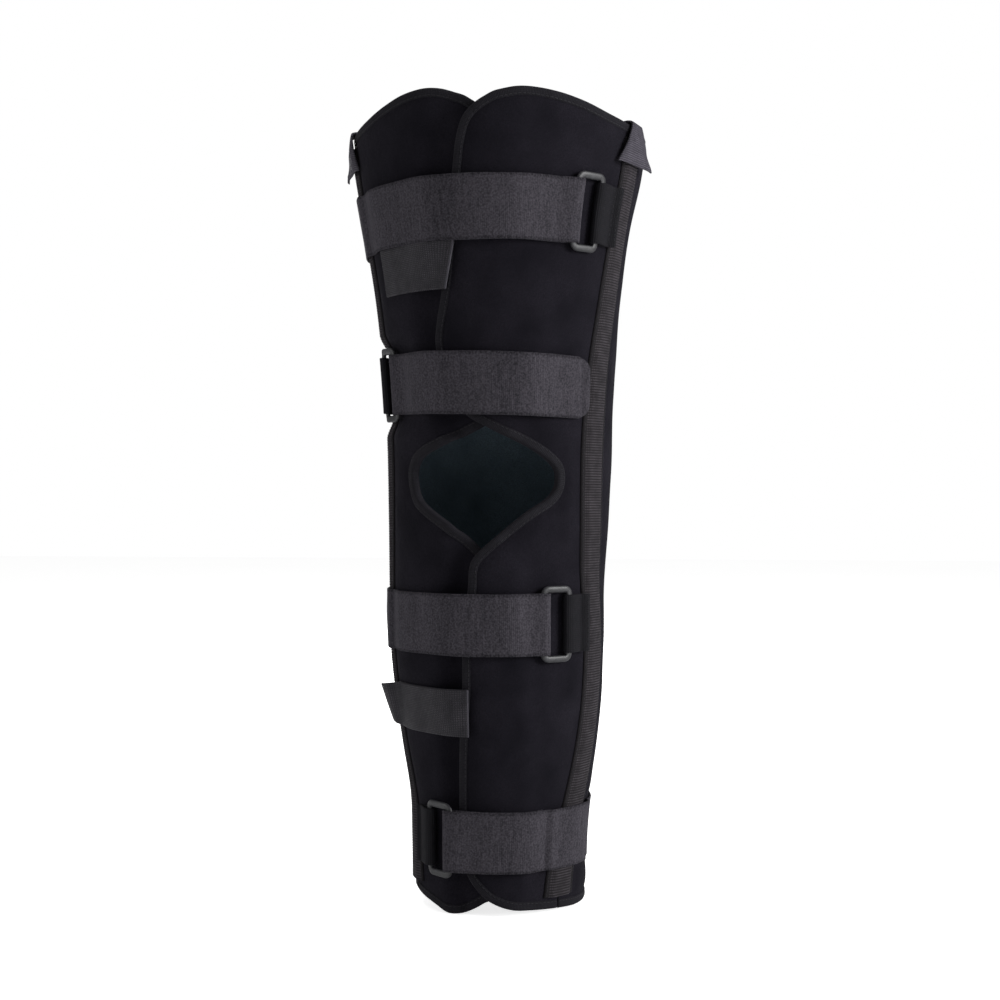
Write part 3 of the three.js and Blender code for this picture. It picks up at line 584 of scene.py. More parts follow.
class Finish:
    """A material from nodes: a shader, and helpers that add nodes of the few kinds used here."""

    def __init__(self, name, roughness, mirror=0.5, sheen=0, coat=0):
        self.material = bpy.data.materials.new(name)
        self.material.use_nodes = True
        self.tree = self.material.node_tree
        self.shader = self.tree.nodes["Principled BSDF"]
        values = {
            "Roughness": roughness, "Specular IOR Level": mirror, "Sheen Weight": sheen,
            "Sheen Roughness": 0.6, "Sheen Tint": FUZZ_TINT, "Coat Weight": coat,
            "Coat Roughness": 0.25,
        }
        for name, value in values.items():
            self.shader.inputs[name].default_value = value
        cloth = self.tree.nodes.new("ShaderNodeUVMap")
        cloth.uv_map = CLOTH
        self.cloth = cloth.outputs[0]
        self.solid = self.tree.nodes.new("ShaderNodeTexCoord").outputs["Object"]

    def link(self, source, socket):
        if isinstance(source, (int, float)):
            socket.default_value = source
        else:
            self.tree.links.new(source, socket)

    def math(self, operation, a, b=0.0, clamp=False):
        node = self.tree.nodes.new("ShaderNodeMath")
        node.operation = operation
        node.use_clamp = clamp
        self.link(a, node.inputs[0])
        self.link(b, node.inputs[1])
        return node.outputs[0]

    def times(self, a, b, clamp=False):
        return self.math("MULTIPLY", a, b, clamp)

    def plus(self, a, b):
        return self.math("ADD", a, b)

    def split(self):
        """The cloth's two coordinates in millimetres."""
        node = self.tree.nodes.new("ShaderNodeSeparateXYZ")
        self.link(self.cloth, node.inputs[0])
        return node.outputs[0], node.outputs[1]

    def wave(self, coordinate, period):
        """A wave from 0 to 1 along a coordinate."""
        swing = self.math("SINE", self.times(coordinate, 2 * math.pi / period))
        return self.plus(self.times(swing, 0.5), 0.5)

    def noise(self, size, detail=3.0, vector=None, stretch=None):
        """Noise from 0 to 1 with grains about as wide as size, over the solid piece in metres or
        over the cloth in millimetres."""
        node = self.tree.nodes.new("ShaderNodeTexNoise")
        node.inputs["Scale"].default_value = 1 / size
        node.inputs["Detail"].default_value = detail
        source = self.solid if vector is None else vector
        if stretch is not None:
            mapping = self.tree.nodes.new("ShaderNodeMapping")
            mapping.inputs["Scale"].default_value = stretch
            self.link(source, mapping.inputs["Vector"])
            source = mapping.outputs[0]
        self.link(source, node.inputs["Vector"])
        return node.outputs["Fac"]

    def blend(self, share, a, b):
        """A mix of two colours by a share."""
        node = self.tree.nodes.new("ShaderNodeMix")
        node.data_type = "RGBA"
        self.link(share, node.inputs[0])
        sockets = [s for s in node.inputs if s.type == "RGBA"]
        for value, socket in zip((a, b), sockets):
            if isinstance(value, tuple):
                socket.default_value = value
            else:
                self.link(value, socket)
        return [s for s in node.outputs if s.type == "RGBA"][0]

    def spread(self, value, low, high):
        """A value between low and high as a share from 0 to 1."""
        node = self.tree.nodes.new("ShaderNodeMapRange")
        self.link(value, node.inputs["Value"])
        node.inputs["From Min"].default_value = low
        node.inputs["From Max"].default_value = high
        return node.outputs["Result"]

    def colour(self, source):
        self.link(source, self.shader.inputs["Base Color"])

    def relief(self, height, distance):
        bump = self.tree.nodes.new("ShaderNodeBump")
        bump.inputs["Strength"].default_value = 1
        bump.inputs["Distance"].default_value = distance
        self.link(height, bump.inputs["Height"])
        self.link(bump.outputs[0], self.shader.inputs["Normal"])
        return self.material


def brushed_foam(name, dark, light, patch=0.03):
    """Looped cloth on foam: a dull nap with fine fibres, and soft patches where it was stroked."""
    finish = Finish(name, roughness=0.95, mirror=0.05, sheen=0.02)
    patches = finish.noise(patch, detail=2)
    fibres = finish.noise(0.0007, detail=4)
    grain = finish.times(finish.spread(patches, 0.3, 0.7), finish.spread(fibres, 0.25, 0.75))
    finish.colour(finish.blend(grain, dark, light))
    nap = finish.plus(fibres, finish.times(finish.noise(0.004), 1.6))
    return finish.relief(nap, 0.25 * MM)


SELVAGE = (17.2, 17.7)  # where a strap's woven edge starts, in millimetres from its middle


def napped_webbing(name, dark, light):
    """Loop webbing: a short nap over fine ribs across the strap, and woven edges."""
    finish = Finish(name, roughness=0.88, mirror=0.1, sheen=0.03)
    along, across = finish.split()
    nap = finish.noise(0.0011, detail=5)
    streaks = finish.noise(1.0, detail=3, vector=finish.cloth, stretch=(0.6, 0.06, 1))
    bands = finish.noise(1.0, detail=1, vector=finish.cloth, stretch=(0.045, 0.004, 1))
    shade = finish.times(finish.spread(nap, 0.36, 0.64), 0.5)
    shade = finish.plus(shade, finish.times(finish.spread(streaks, 0.3, 0.7), 0.25))
    shade = finish.plus(shade, finish.times(finish.spread(bands, 0.3, 0.7), 0.25))
    edge = finish.spread(finish.math("ABSOLUTE", across), *SELVAGE)
    weave = finish.times(finish.wave(along, 0.9), edge)
    shade = finish.math("SUBTRACT", shade, finish.times(edge, 0.2), clamp=True)
    finish.colour(finish.blend(shade, dark, light))
    height = finish.plus(finish.times(finish.wave(along, 1.1), 0.35), nap)
    return finish.relief(finish.plus(height, weave), 0.2 * MM)


def woven_tape(name, dark, light, rib, cross=0.9, border=None):
    """Plain woven tape: ribs along one way and threads along the other. A border is the part of
    the half width where it starts, and is darker."""
    finish = Finish(name, roughness=0.8, mirror=0.1, sheen=0.02)
    along, across = finish.split()
    ribs = finish.wave(along, rib)
    threads = finish.wave(across, cross)
    weave = finish.times(ribs, finish.plus(finish.times(threads, 0.6), 0.4))
    patches = finish.noise(0.006, detail=3)
    shade = finish.times(weave, finish.spread(patches, 0.1, 0.7), clamp=True)
    if border is not None:
        aside = finish.spread(finish.math("ABSOLUTE", across), border, border + 0.6)
        shade = finish.math("SUBTRACT", shade, finish.times(aside, 0.6), clamp=True)
    finish.colour(finish.blend(shade, dark, light))
    return finish.relief(weave, 0.15 * MM)


def thread(name, dark, light):
    """Twisted sewing thread."""
    finish = Finish(name, roughness=0.6, mirror=0.2)
    finish.colour(finish.blend(finish.noise(0.001), dark, light))
    return finish.relief(finish.noise(0.0003), 0.1 * MM)


def moulded_plastic(name, dark, light):
    """Smooth moulded plastic, faintly pebbled and worn a little lighter in places."""
    finish = Finish(name, roughness=0.48, mirror=0.4, coat=0.05)
    wear = finish.spread(finish.noise(0.004, detail=4), 0.45, 0.75)
    finish.colour(finish.blend(wear, dark, light))
    return finish.relief(finish.noise(0.0008, detail=2), 0.02 * MM)


def hook_cloth(name, dark, light):
    """Hook tape: close rows of tiny hooks."""
    finish = Finish(name, roughness=0.62, mirror=0.15)
    along, across = finish.split()
    rows = finish.wave(along, 1.5)
    hooks = finish.times(rows, finish.wave(across, 1.1))
    patches = finish.spread(finish.noise(0.008, detail=3), 0.25, 0.75)
    finish.colour(finish.blend(finish.times(hooks, patches), dark, light))
    return finish.relief(hooks, 0.3 * MM)


OUTER_FOAM = brushed_foam("outer_foam", tone(14, 13, 18), tone(30, 28, 34))
INNER_FOAM = brushed_foam("inner_foam", tone(66, 78, 86), tone(98, 112, 122), patch=0.04)
FOAM_EDGE = brushed_foam("foam_edge", tone(13, 13, 16), tone(20, 20, 23), patch=0.05)
BINDING_TAPE = woven_tape("binding_tape", tone(15, 14, 18), tone(34, 33, 38), rib=1.0)
CASING_TAPE = woven_tape(
    "casing_tape", tone(22, 20, 22), tone(66, 62, 66), rib=1.65, cross=1.0, border=9.2,
)
CAP_TAPE = woven_tape("cap_tape", tone(44, 42, 48), tone(88, 85, 93), rib=1.3, cross=0.8)
STRAP_WEBBING = napped_webbing("strap_webbing", tone(22, 21, 25), tone(66, 63, 69))
ANCHOR_WEBBING = woven_tape(
    "anchor_webbing", tone(10, 10, 13), tone(24, 23, 27), rib=1.2, cross=1.2,
)
RING_PLASTIC = moulded_plastic("ring_plastic", tone(26, 26, 29), tone(40, 40, 44))
TAB_HOOKS = hook_cloth("tab_hooks", tone(32, 31, 35), tone(76, 73, 79))
CUT_EDGE = woven_tape("cut_edge", tone(46, 45, 50), tone(76, 74, 80), rib=1.0, cross=0.8)
DARK_THREAD = thread("dark_thread", tone(18, 17, 21), tone(30, 29, 34))
PALE_THREAD = thread("pale_thread", tone(56, 55, 60), tone(80, 78, 84))

# ---------------------------------------------------------------- foam panels

PANEL_STEP = 2.6 * MM
PANEL_COLUMNS = {"over": 44, "under": 44, "back": 96}
EDGE_TUCK = 0.7 * MM
EDGE_ROUND = 5
PUFF = 0.8 * MM
WRINKLE = 0.7 * MM
WRINKLE_SIZE = 34 * MM
LINING_WRINKLE = 0.35 * MM
LINING_WRINKLE_SIZE = WRINKLE_SIZE * 0.7
EDGE_BULGE = FOAM * 0.2
PRESS_REACH = 11 * MM
PRESS_TURN = 5
EDGE_NEAR = 4.2 * MM
EDGE_FAR = 13 * MM
EDGE_PINCH = 0.9 * MM
PINCH_REACH = 8 * MM


def turned(angle):
    """Degrees from -180 to 180."""
    return (np.asarray(angle) + 180) % 360 - 180


def beside(value, low, high, reach):
    """1 between two values, fading to 0 at a reach past them."""
    return ramp(value, low - reach, low) * (1 - ramp(value, high, high + reach))


def pressed(angle, z):
    """How far straps, tabs and casings hold the foam down, from 0 to 1."""
    angle = turned(angle)
    press = np.zeros_like(z)
    bands = [(height_of(tab["level"]), TAB_HEIGHT, (tab["left"], tab["right"])) for tab in TABS]
    for strap in straps:
        ends = [strap["sewn"], strap["far_bar"], strap["end"], strap["anchor_end"]]
        bands.append((middle_of(strap, angle), STRAP_WIDTH, ends))
    for middle, width, ends in bands:
        across = beside(z, middle - width / 2, middle + width / 2, PRESS_REACH)
        press = np.maximum(press, across * beside(angle, min(ends), max(ends), PRESS_TURN))
    from_seam = np.minimum(np.abs(angle - seam_at(z, 1)), np.abs(angle - seam_at(z, -1)))
    edge = CASING_WIDTH / 2
    casing = 1 - ramp(from_seam * per_degree(z), edge, edge + PRESS_REACH)
    return np.maximum(press, casing)


def pinch_at(edge):
    """How far the edge tape draws in each face of the foam, by the distance from the edge."""
    return EDGE_PINCH * (1 - ramp(edge, MM, PINCH_REACH))


def panel_grid(panel):
    """Angles, heights and faces of a panel's points, how far each is held down by what lies on
    it, and how far its tape draws it in."""
    rows = int(round((TOP - BOTTOM) / PANEL_STEP))
    columns = PANEL_COLUMNS[panel]
    z = np.linspace(BOTTOM + EDGE_TUCK, TOP - EDGE_TUCK, rows + 1)[:, None]
    first, last = panel_span(panel, z)
    share = np.linspace(0, 1, columns + 1)[None]
    tuck = degrees_for(EDGE_TUCK, z)
    if panel == "over":
        first = first + tuck
    if panel == "under":
        last = last - tuck
    angle = mix(first, last, share)
    z = np.broadcast_to(z, angle.shape)
    height = hemmed_height(panel, angle, z)
    edge = np.minimum(TOP - z, z - BOTTOM)
    if panel != "back":
        free = edge_of[panel](z)
        lean = (edge_of[panel](z + MM) - edge_of[panel](z - MM)) * per_degree(z) / (2 * MM)
        edge = np.minimum(edge, np.abs(angle - free) * per_degree(z) / np.hypot(lean, 1))
    held = np.maximum(pressed(angle, height), 1 - ramp(edge, EDGE_NEAR, EDGE_FAR))
    return angle, height, face_of(panel, angle, height), held, pinch_at(edge)


def panel_piece(panel, name):
    angle, height, face, held, pinch = panel_grid(panel)
    free = 1 - held
    bare = on_leg(angle, face, height)
    swell = PUFF + WRINKLE * soft_noise(bare, WRINKLE_SIZE)
    outer = on_leg(angle, face - pinch + swell * free, height)
    lining = LINING_WRINKLE * soft_noise(bare + 1, LINING_WRINKLE_SIZE)
    inner = on_leg(angle, face - FOAM + pinch + lining * free, height)
    swing = np.linspace(0, math.pi, EDGE_ROUND + 2)[1:-1]
    side = []
    for column, way in ((-1, 1), (0, -1)):
        thin = pinch[:, column, None]
        bulge = np.sin(swing) * EDGE_BULGE * way
        drop = thin + (FOAM - 2 * thin) * (1 - np.cos(swing)) / 2
        at = angle[:, column, None] + degrees_for(bulge[None], height[:, column, None])
        points = on_leg(at, face[:, column, None] - drop, height[:, column, None])
        side.append(points if way > 0 else points[:, ::-1])
    sections = np.concatenate([outer, side[0], inner[:, ::-1], side[1]], axis=1)
    columns = outer.shape[1]
    paint = np.full(sections.shape[1], 1)
    paint[: columns - 1] = 0
    paint[columns - 1 : columns + EDGE_ROUND] = 2
    paint[-EDGE_ROUND - 1 :] = 2
    round_it = np.linalg.norm(np.diff(looped(sections), axis=1), axis=2)
    u = np.pad(np.cumsum(round_it, axis=1), ((0, 0), (1, 0)))
    v = np.broadcast_to(height[:, :1], u.shape)
    piece = Piece(name)
    piece.sweep(sections, np.stack([u, v], -1) / MM, paint)
    made = piece.build([OUTER_FOAM, INNER_FOAM, FOAM_EDGE], [name])


for panel, name in (("under", "under_flap"), ("over", "over_flap"), ("back", "back_panel")):
    panel_piece(panel, name)

# ---------------------------------------------------------------- edge tape

# The tape's section: how far in from the edge, and how far off the foam's face.
TAPE_SECTION = np.array([
    (4.5, -0.2), (4.4, 0.35), (4.0, 0.72), (3.3, 0.8), (2.7, 0.98), (1.5, 1.25), (0.4, 1.2),
    (-0.5, 0.8), (-1.1, 0.0),
]) * MM
TAPE_STEP = 1.5 * MM
TAPE_SMOOTHING = 4
STITCH_INSET = 3.4 * MM
STITCH_RISE = 0.78 * MM


def outline(panel):
    """The edge of a panel that the tape binds, as lines of angle and height."""
    rows = np.linspace(BOTTOM, TOP, 260)
    columns = np.linspace(0, 1, 60)

    def hem(z):
        first, last = panel_span(panel, z)
        angle = mix(first, last, columns)
        return np.stack([angle, hemmed_height(panel, angle, z)], -1)

    if panel == "back":
        return [("top", hem(TOP)), ("bottom", hem(BOTTOM))]
    angle = edge_of[panel](rows)
    free = np.stack([angle, hemmed_height(panel, angle, rows)], -1)
    bottom, top = hem(BOTTOM), hem(TOP)
    if panel == "over":
        line = np.concatenate([bottom[::-1], free[1:-1], top])
    else:
        line = np.concatenate([bottom, free[1:-1], top[::-1]])
    return [("", line)]


def inward(line, side):
    """Unit steps from a line of angle and height into the cloth, in metres along both. The cloth
    lies to the left of the way that the line runs (side 1) or to the right of it (side -1)."""
    z = line[:, 1]
    flat = np.stack([line[:, 0] * per_degree(z), z], -1)
    along = np.gradient(flat, axis=0)
    along /= np.linalg.norm(along, axis=1, keepdims=True)
    return np.stack([-along[:, 1], along[:, 0]], -1) * side


CLOTH_SIDE = {"over": -1, "under": 1, "top": -1, "bottom": 1}


def binding_piece(panel, end, line, name):
    line = smoothed(resampled(line, TAPE_STEP), TAPE_SMOOTHING)
    step = inward(line, CLOTH_SIDE[end or panel])
    scale = per_degree(line[:, 1])

    def place(inset, height, side):
        angle = line[:, 0] + step[:, 0] * inset / scale
        z = line[:, 1] + step[:, 1] * inset
        face, over = face_of(panel, angle, z), height - pinch_at(max(inset, 0))
        return on_leg(angle, face + over if side > 0 else face - FOAM - over, z)

    outer = [place(inset, height, 1) for inset, height in TAPE_SECTION]
    inner = [place(inset, height, -1) for inset, height in TAPE_SECTION[::-1]]
    sections = np.stack(outer + inner, 1)
    way = way_along(place(0, 0, 1))[:, None]
    turn = way_along(sections[0])
    turn = np.append(turn, turn[-1] + 2 * FOAM)
    cloth = np.stack(np.broadcast_arrays(way, turn[None]), -1) / MM
    piece = Piece(name)
    piece.sweep(sections, cloth, 0)
    seam = place(STITCH_INSET, STITCH_RISE, 1)
    out = seam - place(STITCH_INSET, 0, 1)
    piece.stitches(seam, out, 1)
    piece.build([BINDING_TAPE, DARK_THREAD], [name])


for panel in ("under", "over", "back"):
    for end, line in outline(panel):
        name = f"{panel}_flap_binding" if panel != "back" else f"back_panel_{end}_binding"
        binding_piece(panel, end, line, name)

# ---------------------------------------------------------------- stay casings and their caps

CASING_STEP = 0.42 * MM
CASING_COLUMNS = 20
RIB_PITCH = 1.65 * MM
RIB_HEIGHT = 0.4 * MM
BORDER_RIB = 0.08 * MM
STAY_WIDTH = 15 * MM
CASING_STITCH = 1.5 * MM
CASING_THREAD = 1.1
COLUMN_CROWDING = 0.8
RIB_MIDDLE = 0.6
LIP = 0.9 * MM
LIP_RISE = 0.35 * MM
WAVE = 31 * MM
SHORT_WAVE = 13 * MM


def casing_rise(across):
    """Height of a casing's cloth over the foam, by the distance from its middle line."""
    border = CASING_WIDTH / 2 - CASING_BORDER
    return mix(CASING_RISE, CASING_CLOTH, ramp(np.abs(across), STAY_WIDTH / 2 - MM, border))


def casing_piece(side, name):
    panel = "over" if side > 0 else "under"
    low = hemmed_height(panel, seam_at(BOTTOM, side), BOTTOM) + CASING_INSET
    high = hemmed_height(panel, seam_at(TOP, side), TOP) - CASING_INSET
    z = np.arange(low, high, CASING_STEP)[:, None]
    spread = np.linspace(-1, 1, CASING_COLUMNS)
    across = np.sign(spread) * np.abs(spread) ** COLUMN_CROWDING * CASING_WIDTH / 2
    inner_zone = 1 - ramp(np.abs(across), STAY_WIDTH / 2, CASING_WIDTH / 2 - CASING_BORDER)
    ribs = np.abs(np.sin(math.pi * z / RIB_PITCH)) - RIB_MIDDLE
    rise = casing_rise(across) + ribs * mix(BORDER_RIB, RIB_HEIGHT, inner_zone)
    wander = 0.25 * MM * np.sin(z / WAVE) + 0.15 * MM * np.sin(z / SHORT_WAVE + 1)
    middle = seam_at(z, side) + degrees_for(wander, z)
    angle = middle + degrees_for(across[None], z)
    lip = ramp(np.abs(across), CASING_WIDTH / 2 - LIP, CASING_WIDTH / 2)
    outer = on_leg(angle, GAP + mix(rise, LIP_RISE, lip), z)
    inner = on_leg(angle, GAP * (1 - lip), z)
    sections = np.concatenate([outer, inner[:, ::-1]], axis=1)
    u = np.concatenate([across, across[::-1], across[:1]])
    cloth = np.stack(np.broadcast_arrays(z, u[None]), -1) / MM
    piece = Piece(name)
    piece.sweep(sections, cloth, 0)
    seam_z = np.arange(low, high, MM)
    for edge in (-1, 1):
        aside = edge * (CASING_WIDTH / 2 - CASING_STITCH)
        wander = 0.2 * MM * np.sin(seam_z / WAVE)
        middle = seam_at(seam_z, side) + degrees_for(aside + wander, seam_z)
        line = on_leg(middle, GAP + CASING_CLOTH, seam_z)
        out = line - on_leg(middle, 0, seam_z)
        piece.stitches(line, out, 1, CASING_THREAD)
    piece.build([CASING_TAPE, DARK_THREAD], [name])


CAP_COLUMNS = 56
CAP_STITCH = 2.6 * MM
CAP_EDGE = 1.2
CAP_CLIMB = 0.8
FLARE_START = 0.35


def cap_piece(side, name):
    """Tape folded over the hem, narrow there and wide below, whose far half stands off a little."""
    panel = "over" if side > 0 else "under"
    share = np.linspace(0, 1, CAP_COLUMNS + 1)
    wide = seam_at(TOP, side) + side * degrees_for((share - 0.5) * CAP_WIDTH, TOP)
    narrow = seam_at(TOP, side) + side * degrees_for((share - 0.5) * CAP_TOP_WIDTH, TOP)
    hem = hemmed_height(panel, narrow, TOP)
    rests = [rest_of(at - CAP_DROP / 2, CAP_DROP) for at in hem]
    rest = [max(at(low), at((low + high) / 2)) for at, low, high in zip(rests, wide, narrow)]
    rest = np.array(rest) + TAPE_STACK + CAP / 2
    neck = TAPE_STACK + GAP + CAP / 2
    inside = -FOAM - TAPE_STACK - 2 * STRAP_GAP - CAP / 2
    flare = CAP_FLARE * ramp(share, FLARE_START, 1)
    over = hem + TAPE_STACK + GAP
    leg = np.linspace(0, 1, 18)[:-1]
    swing = np.linspace(0, math.pi, 12)
    tuck = np.linspace(0, 1, 8)[1:]
    bend = 1.5 * MM

    def line(i):
        """Angle, offset and height of the steps along one column."""
        way = 1 - leg
        climbed = np.minimum(way / (1 - CAP_WAIST), 1) ** CAP_CLIMB
        flared = flare[i] * ramp(way, 1 - CAP_WAIST, 1) * way
        outer = mix(neck, rest[i], climbed) + flared
        middle, reach = (neck + inside) / 2, (neck - inside) / 2
        fold = middle + reach * np.cos(swing)
        offsets = np.concatenate([outer, fold, np.full(len(tuck), inside)])
        heights = np.concatenate([
            mix(over[i], hem[i] - CAP_DROP, way),
            over[i] + bend * np.sin(swing), mix(over[i], hem[i] - CAP_TUCK, tuck),
        ])
        edge = mix(narrow[i], wide[i], way ** CAP_EDGE)
        angles = np.concatenate([edge, np.full(len(swing) + len(tuck), narrow[i])])
        return np.stack([offsets, heights, angles], -1)

    middle = np.array([line(i) for i in range(CAP_COLUMNS + 1)])
    flat = middle[..., :2]
    along = np.gradient(flat, axis=1)
    along /= np.linalg.norm(along, axis=2, keepdims=True)
    normal = np.stack([along[..., 1], -along[..., 0]], -1) * CAP / 2
    way = way_along(flat[0])
    faces = []
    for sign in (1, -1):
        skin = flat + normal * sign
        faces.append(on_leg(middle[..., 2], skin[..., 0], skin[..., 1]))
    sections = np.concatenate([faces[0], faces[1][:, ::-1]], axis=1)
    u = np.concatenate([way, way[::-1], way[:1]])
    v = (share - 0.5)[:, None] * CAP_WIDTH
    cloth = np.stack(np.broadcast_arrays(u[None], v), -1) / MM
    piece = Piece(name)
    piece.sweep(sections, cloth, 0)
    row = int(np.searchsorted(way, CAP_STITCH))
    seam, out = faces[0][:, row], faces[0][:, row] - faces[1][:, row]
    piece.stitches(seam[::side], out[::side], 1)
    piece.build([CAP_TAPE, PALE_THREAD], [name])


for side, name in ((-1, "left"), (1, "right")):
    casing_piece(side, f"{name}_stay_casing")
    cap_piece(side, f"{name}_casing_cap")

# ---------------------------------------------------------------- straps, anchors and tabs

WEBBING_STEP = 0.8
WEBBING_COLUMNS = 14
TURN_SETTLE = 14 * MM
END_SETTLE = 14 * MM
TURN_STEPS = 12
TURN_FREE = 4 * MM

# The straps' slight waves and the drift of their edges: heights, and how slowly each changes along
# the strap, in steps, and across it.
STRAP_SAG = 0.2 * MM
SAG_MIDDLE = 0.3
SAG_STEPS = 14
SAG_ACROSS = 1.4
SELVAGE_DRIFT = 0.35 * MM
DRIFT_STEPS = 22
EDGES_APART = 5

THREAD_RISE = 0.05 * MM


def steps(start, end, step):
    return np.linspace(start, end, max(2, int(math.ceil(abs(end - start) / step))) + 1)


def hairpin(sewn, bar, end, bar_offset, turn, rest, thickness, z):
    """The way of webbing that is sewn down at one angle, turns round a bar and comes back."""
    scale = per_degree(z)
    towards = np.sign(bar - sewn)
    lift, reach = turn

    def near_bar(angle):
        return 1 - ramp(np.abs(angle - bar) * scale, 0, TURN_SETTLE)

    below = steps(sewn, bar, WEBBING_STEP)
    inner = mix(rest(below) + thickness / 2, bar_offset - lift, near_bar(below))
    swing = np.linspace(-math.pi / 2, math.pi / 2, TURN_STEPS + 1)[1:-1]
    around = bar + towards * np.cos(swing) * reach / scale
    round_bar = bar_offset + lift * np.sin(swing)
    above = steps(bar, end, WEBBING_STEP)
    doubled = (thickness + GAP) * ramp((above - sewn) * towards * scale, -END_SETTLE, 0)
    outer = mix(rest(above) + thickness / 2 + doubled, bar_offset + lift, near_bar(above))
    return np.concatenate([below, around, above]), np.concatenate([inner, round_bar, outer])


def ribbon(piece, angle, offset, z, thickness, paint=0):
    """Adds a flat strip with rounded long edges. Each array has a row for each step along the
    strip and a column for each point across it."""
    scale = per_degree(z)
    run = np.gradient(angle, axis=0) * scale
    rise = np.gradient(offset, axis=0)
    size = np.hypot(run, rise)
    normal = np.stack([rise / size, -run / size], -1) * thickness / 2

    def place(side, columns=slice(None), beyond=0.0):
        at = angle[:, columns] + degrees_for(normal[:, columns, 0] * side, z[:, columns])
        return on_leg(at, offset[:, columns] + normal[:, columns, 1] * side, z[:, columns] + beyond)

    swing = np.linspace(0, math.pi, 5)[1:-1]
    half = thickness / 2
    high = [place(math.cos(t), slice(-1, None), half * math.sin(t)) for t in swing]
    low = [place(-math.cos(t), slice(0, 1), -half * math.sin(t)) for t in swing]
    sections = np.concatenate([place(1), *high, place(-1)[:, ::-1], *low], axis=1)
    middle = angle.shape[1] // 2
    way = way_along(np.stack([angle[:, middle] * scale[:, middle], offset[:, middle]], -1))
    across = z - (z[:, :1] + z[:, -1:]) / 2
    last, first = (np.repeat(across[:, [i]], len(swing), axis=1) for i in (-1, 0))
    u = looped(np.concatenate([across, last, across[:, ::-1], first], axis=1))
    cloth = np.stack(np.broadcast_arrays(way[:, None], u), -1) / MM
    piece.sweep(sections, cloth, paint)


def strap_piece(strap):
    angle, offset = hairpin(
        strap["sewn"], strap["bar"], strap["end"], strap["bar_offset"], strap["turn"],
        strap["rest"], STRAP, strap["z"],
    )
    scale = per_degree(strap["z"])
    tail, last = angle[-1], len(angle) // 2
    left = np.abs(angle - tail) * scale
    keep = (left > STRAP_CORNER) | (np.arange(len(angle)) < last)
    swing = np.linspace(0, math.pi / 2, 12)
    corner_left = STRAP_CORNER * (1 - np.sin(swing))
    corner = tail + strap["towards"] * corner_left / scale
    order = np.argsort(angle[last:])
    corner_offset = np.interp(corner, angle[last:][order], offset[last:][order])
    angle = np.concatenate([angle[keep], corner])
    offset = np.concatenate([offset[keep], corner_offset])
    half = np.full(len(angle), STRAP_WIDTH / 2)
    half[-len(corner):] -= STRAP_CORNER * (1 - np.cos(swing))
    share = np.linspace(-1, 1, WEBBING_COLUMNS)
    seed = strap["z"] / MM
    way = np.arange(len(angle))
    drift = SELVAGE_DRIFT * np.array([
        [noise.noise(Vector((step / DRIFT_STEPS, edge * EDGES_APART, seed))) for edge in (-1, 1)]
        for step in way
    ])
    z = middle_of(strap, angle)[:, None] + half[:, None] * share[None]
    z = z + mix(drift[:, :1], drift[:, 1:], (share[None] + 1) / 2)
    waves = np.array([
        [noise.noise(Vector((step / SAG_STEPS, at * SAG_ACROSS, seed + 9))) for at in share]
        for step in way
    ])
    near = np.abs(angle - strap["bar"]) * scale
    settle = ramp(near, TURN_FREE, TURN_SETTLE)[:, None]
    lifted = offset[:, None] + STRAP_SAG * (waves + SAG_MIDDLE) * settle
    piece = Piece(f"{strap['name']}_strap")
    ribbon(piece, np.broadcast_to(angle[:, None], z.shape), lifted, z, STRAP)
    piece.build([STRAP_WEBBING], [piece.name])


ANCHOR_MARGIN = 2.5 * MM
SEWN_INSET = 2 * MM
SEWN_APART = 5 * MM


def anchor_piece(strap):
    def rest(angle):
        return np.maximum(strap["rest"](angle), STRAP_GAP)

    end = strap["anchor_end"]
    angle, offset = hairpin(
        end, strap["far_bar"], end, strap["far_offset"], strap["far_turn"], rest, ANCHOR, strap["z"]
    )
    share = np.linspace(-1, 1, WEBBING_COLUMNS)
    z = middle_of(strap, angle)[:, None] + ANCHOR_WIDTH / 2 * share[None]
    piece = Piece(f"{strap['name']}_anchor")
    wide = np.broadcast_to(angle[:, None], z.shape)
    ribbon(piece, wide, np.broadcast_to(offset[:, None], z.shape), z, ANCHOR)
    away = np.sign(strap["far_bar"] - end)
    scale = per_degree(strap["z"])
    reach = ANCHOR_WIDTH / 2 - ANCHOR_MARGIN
    room = abs(strap["far_bar"] - end) * scale - TURN_SETTLE
    for inset in (SEWN_INSET, max(room, SEWN_APART)):
        at = end + away * inset / scale
        line_z = middle_of(strap, at) + np.linspace(-reach, reach, 40)
        line = on_leg(at, rest(at) + 2 * ANCHOR + GAP + THREAD_RISE, line_z)
        piece.stitches(line, line - on_leg(at, 0, line_z), 1)
    piece.build([ANCHOR_WEBBING, DARK_THREAD], [piece.name])


RING_SIDES = 16
RING_CORNER_STEPS = 10
RING_SQUARENESS = 0.85


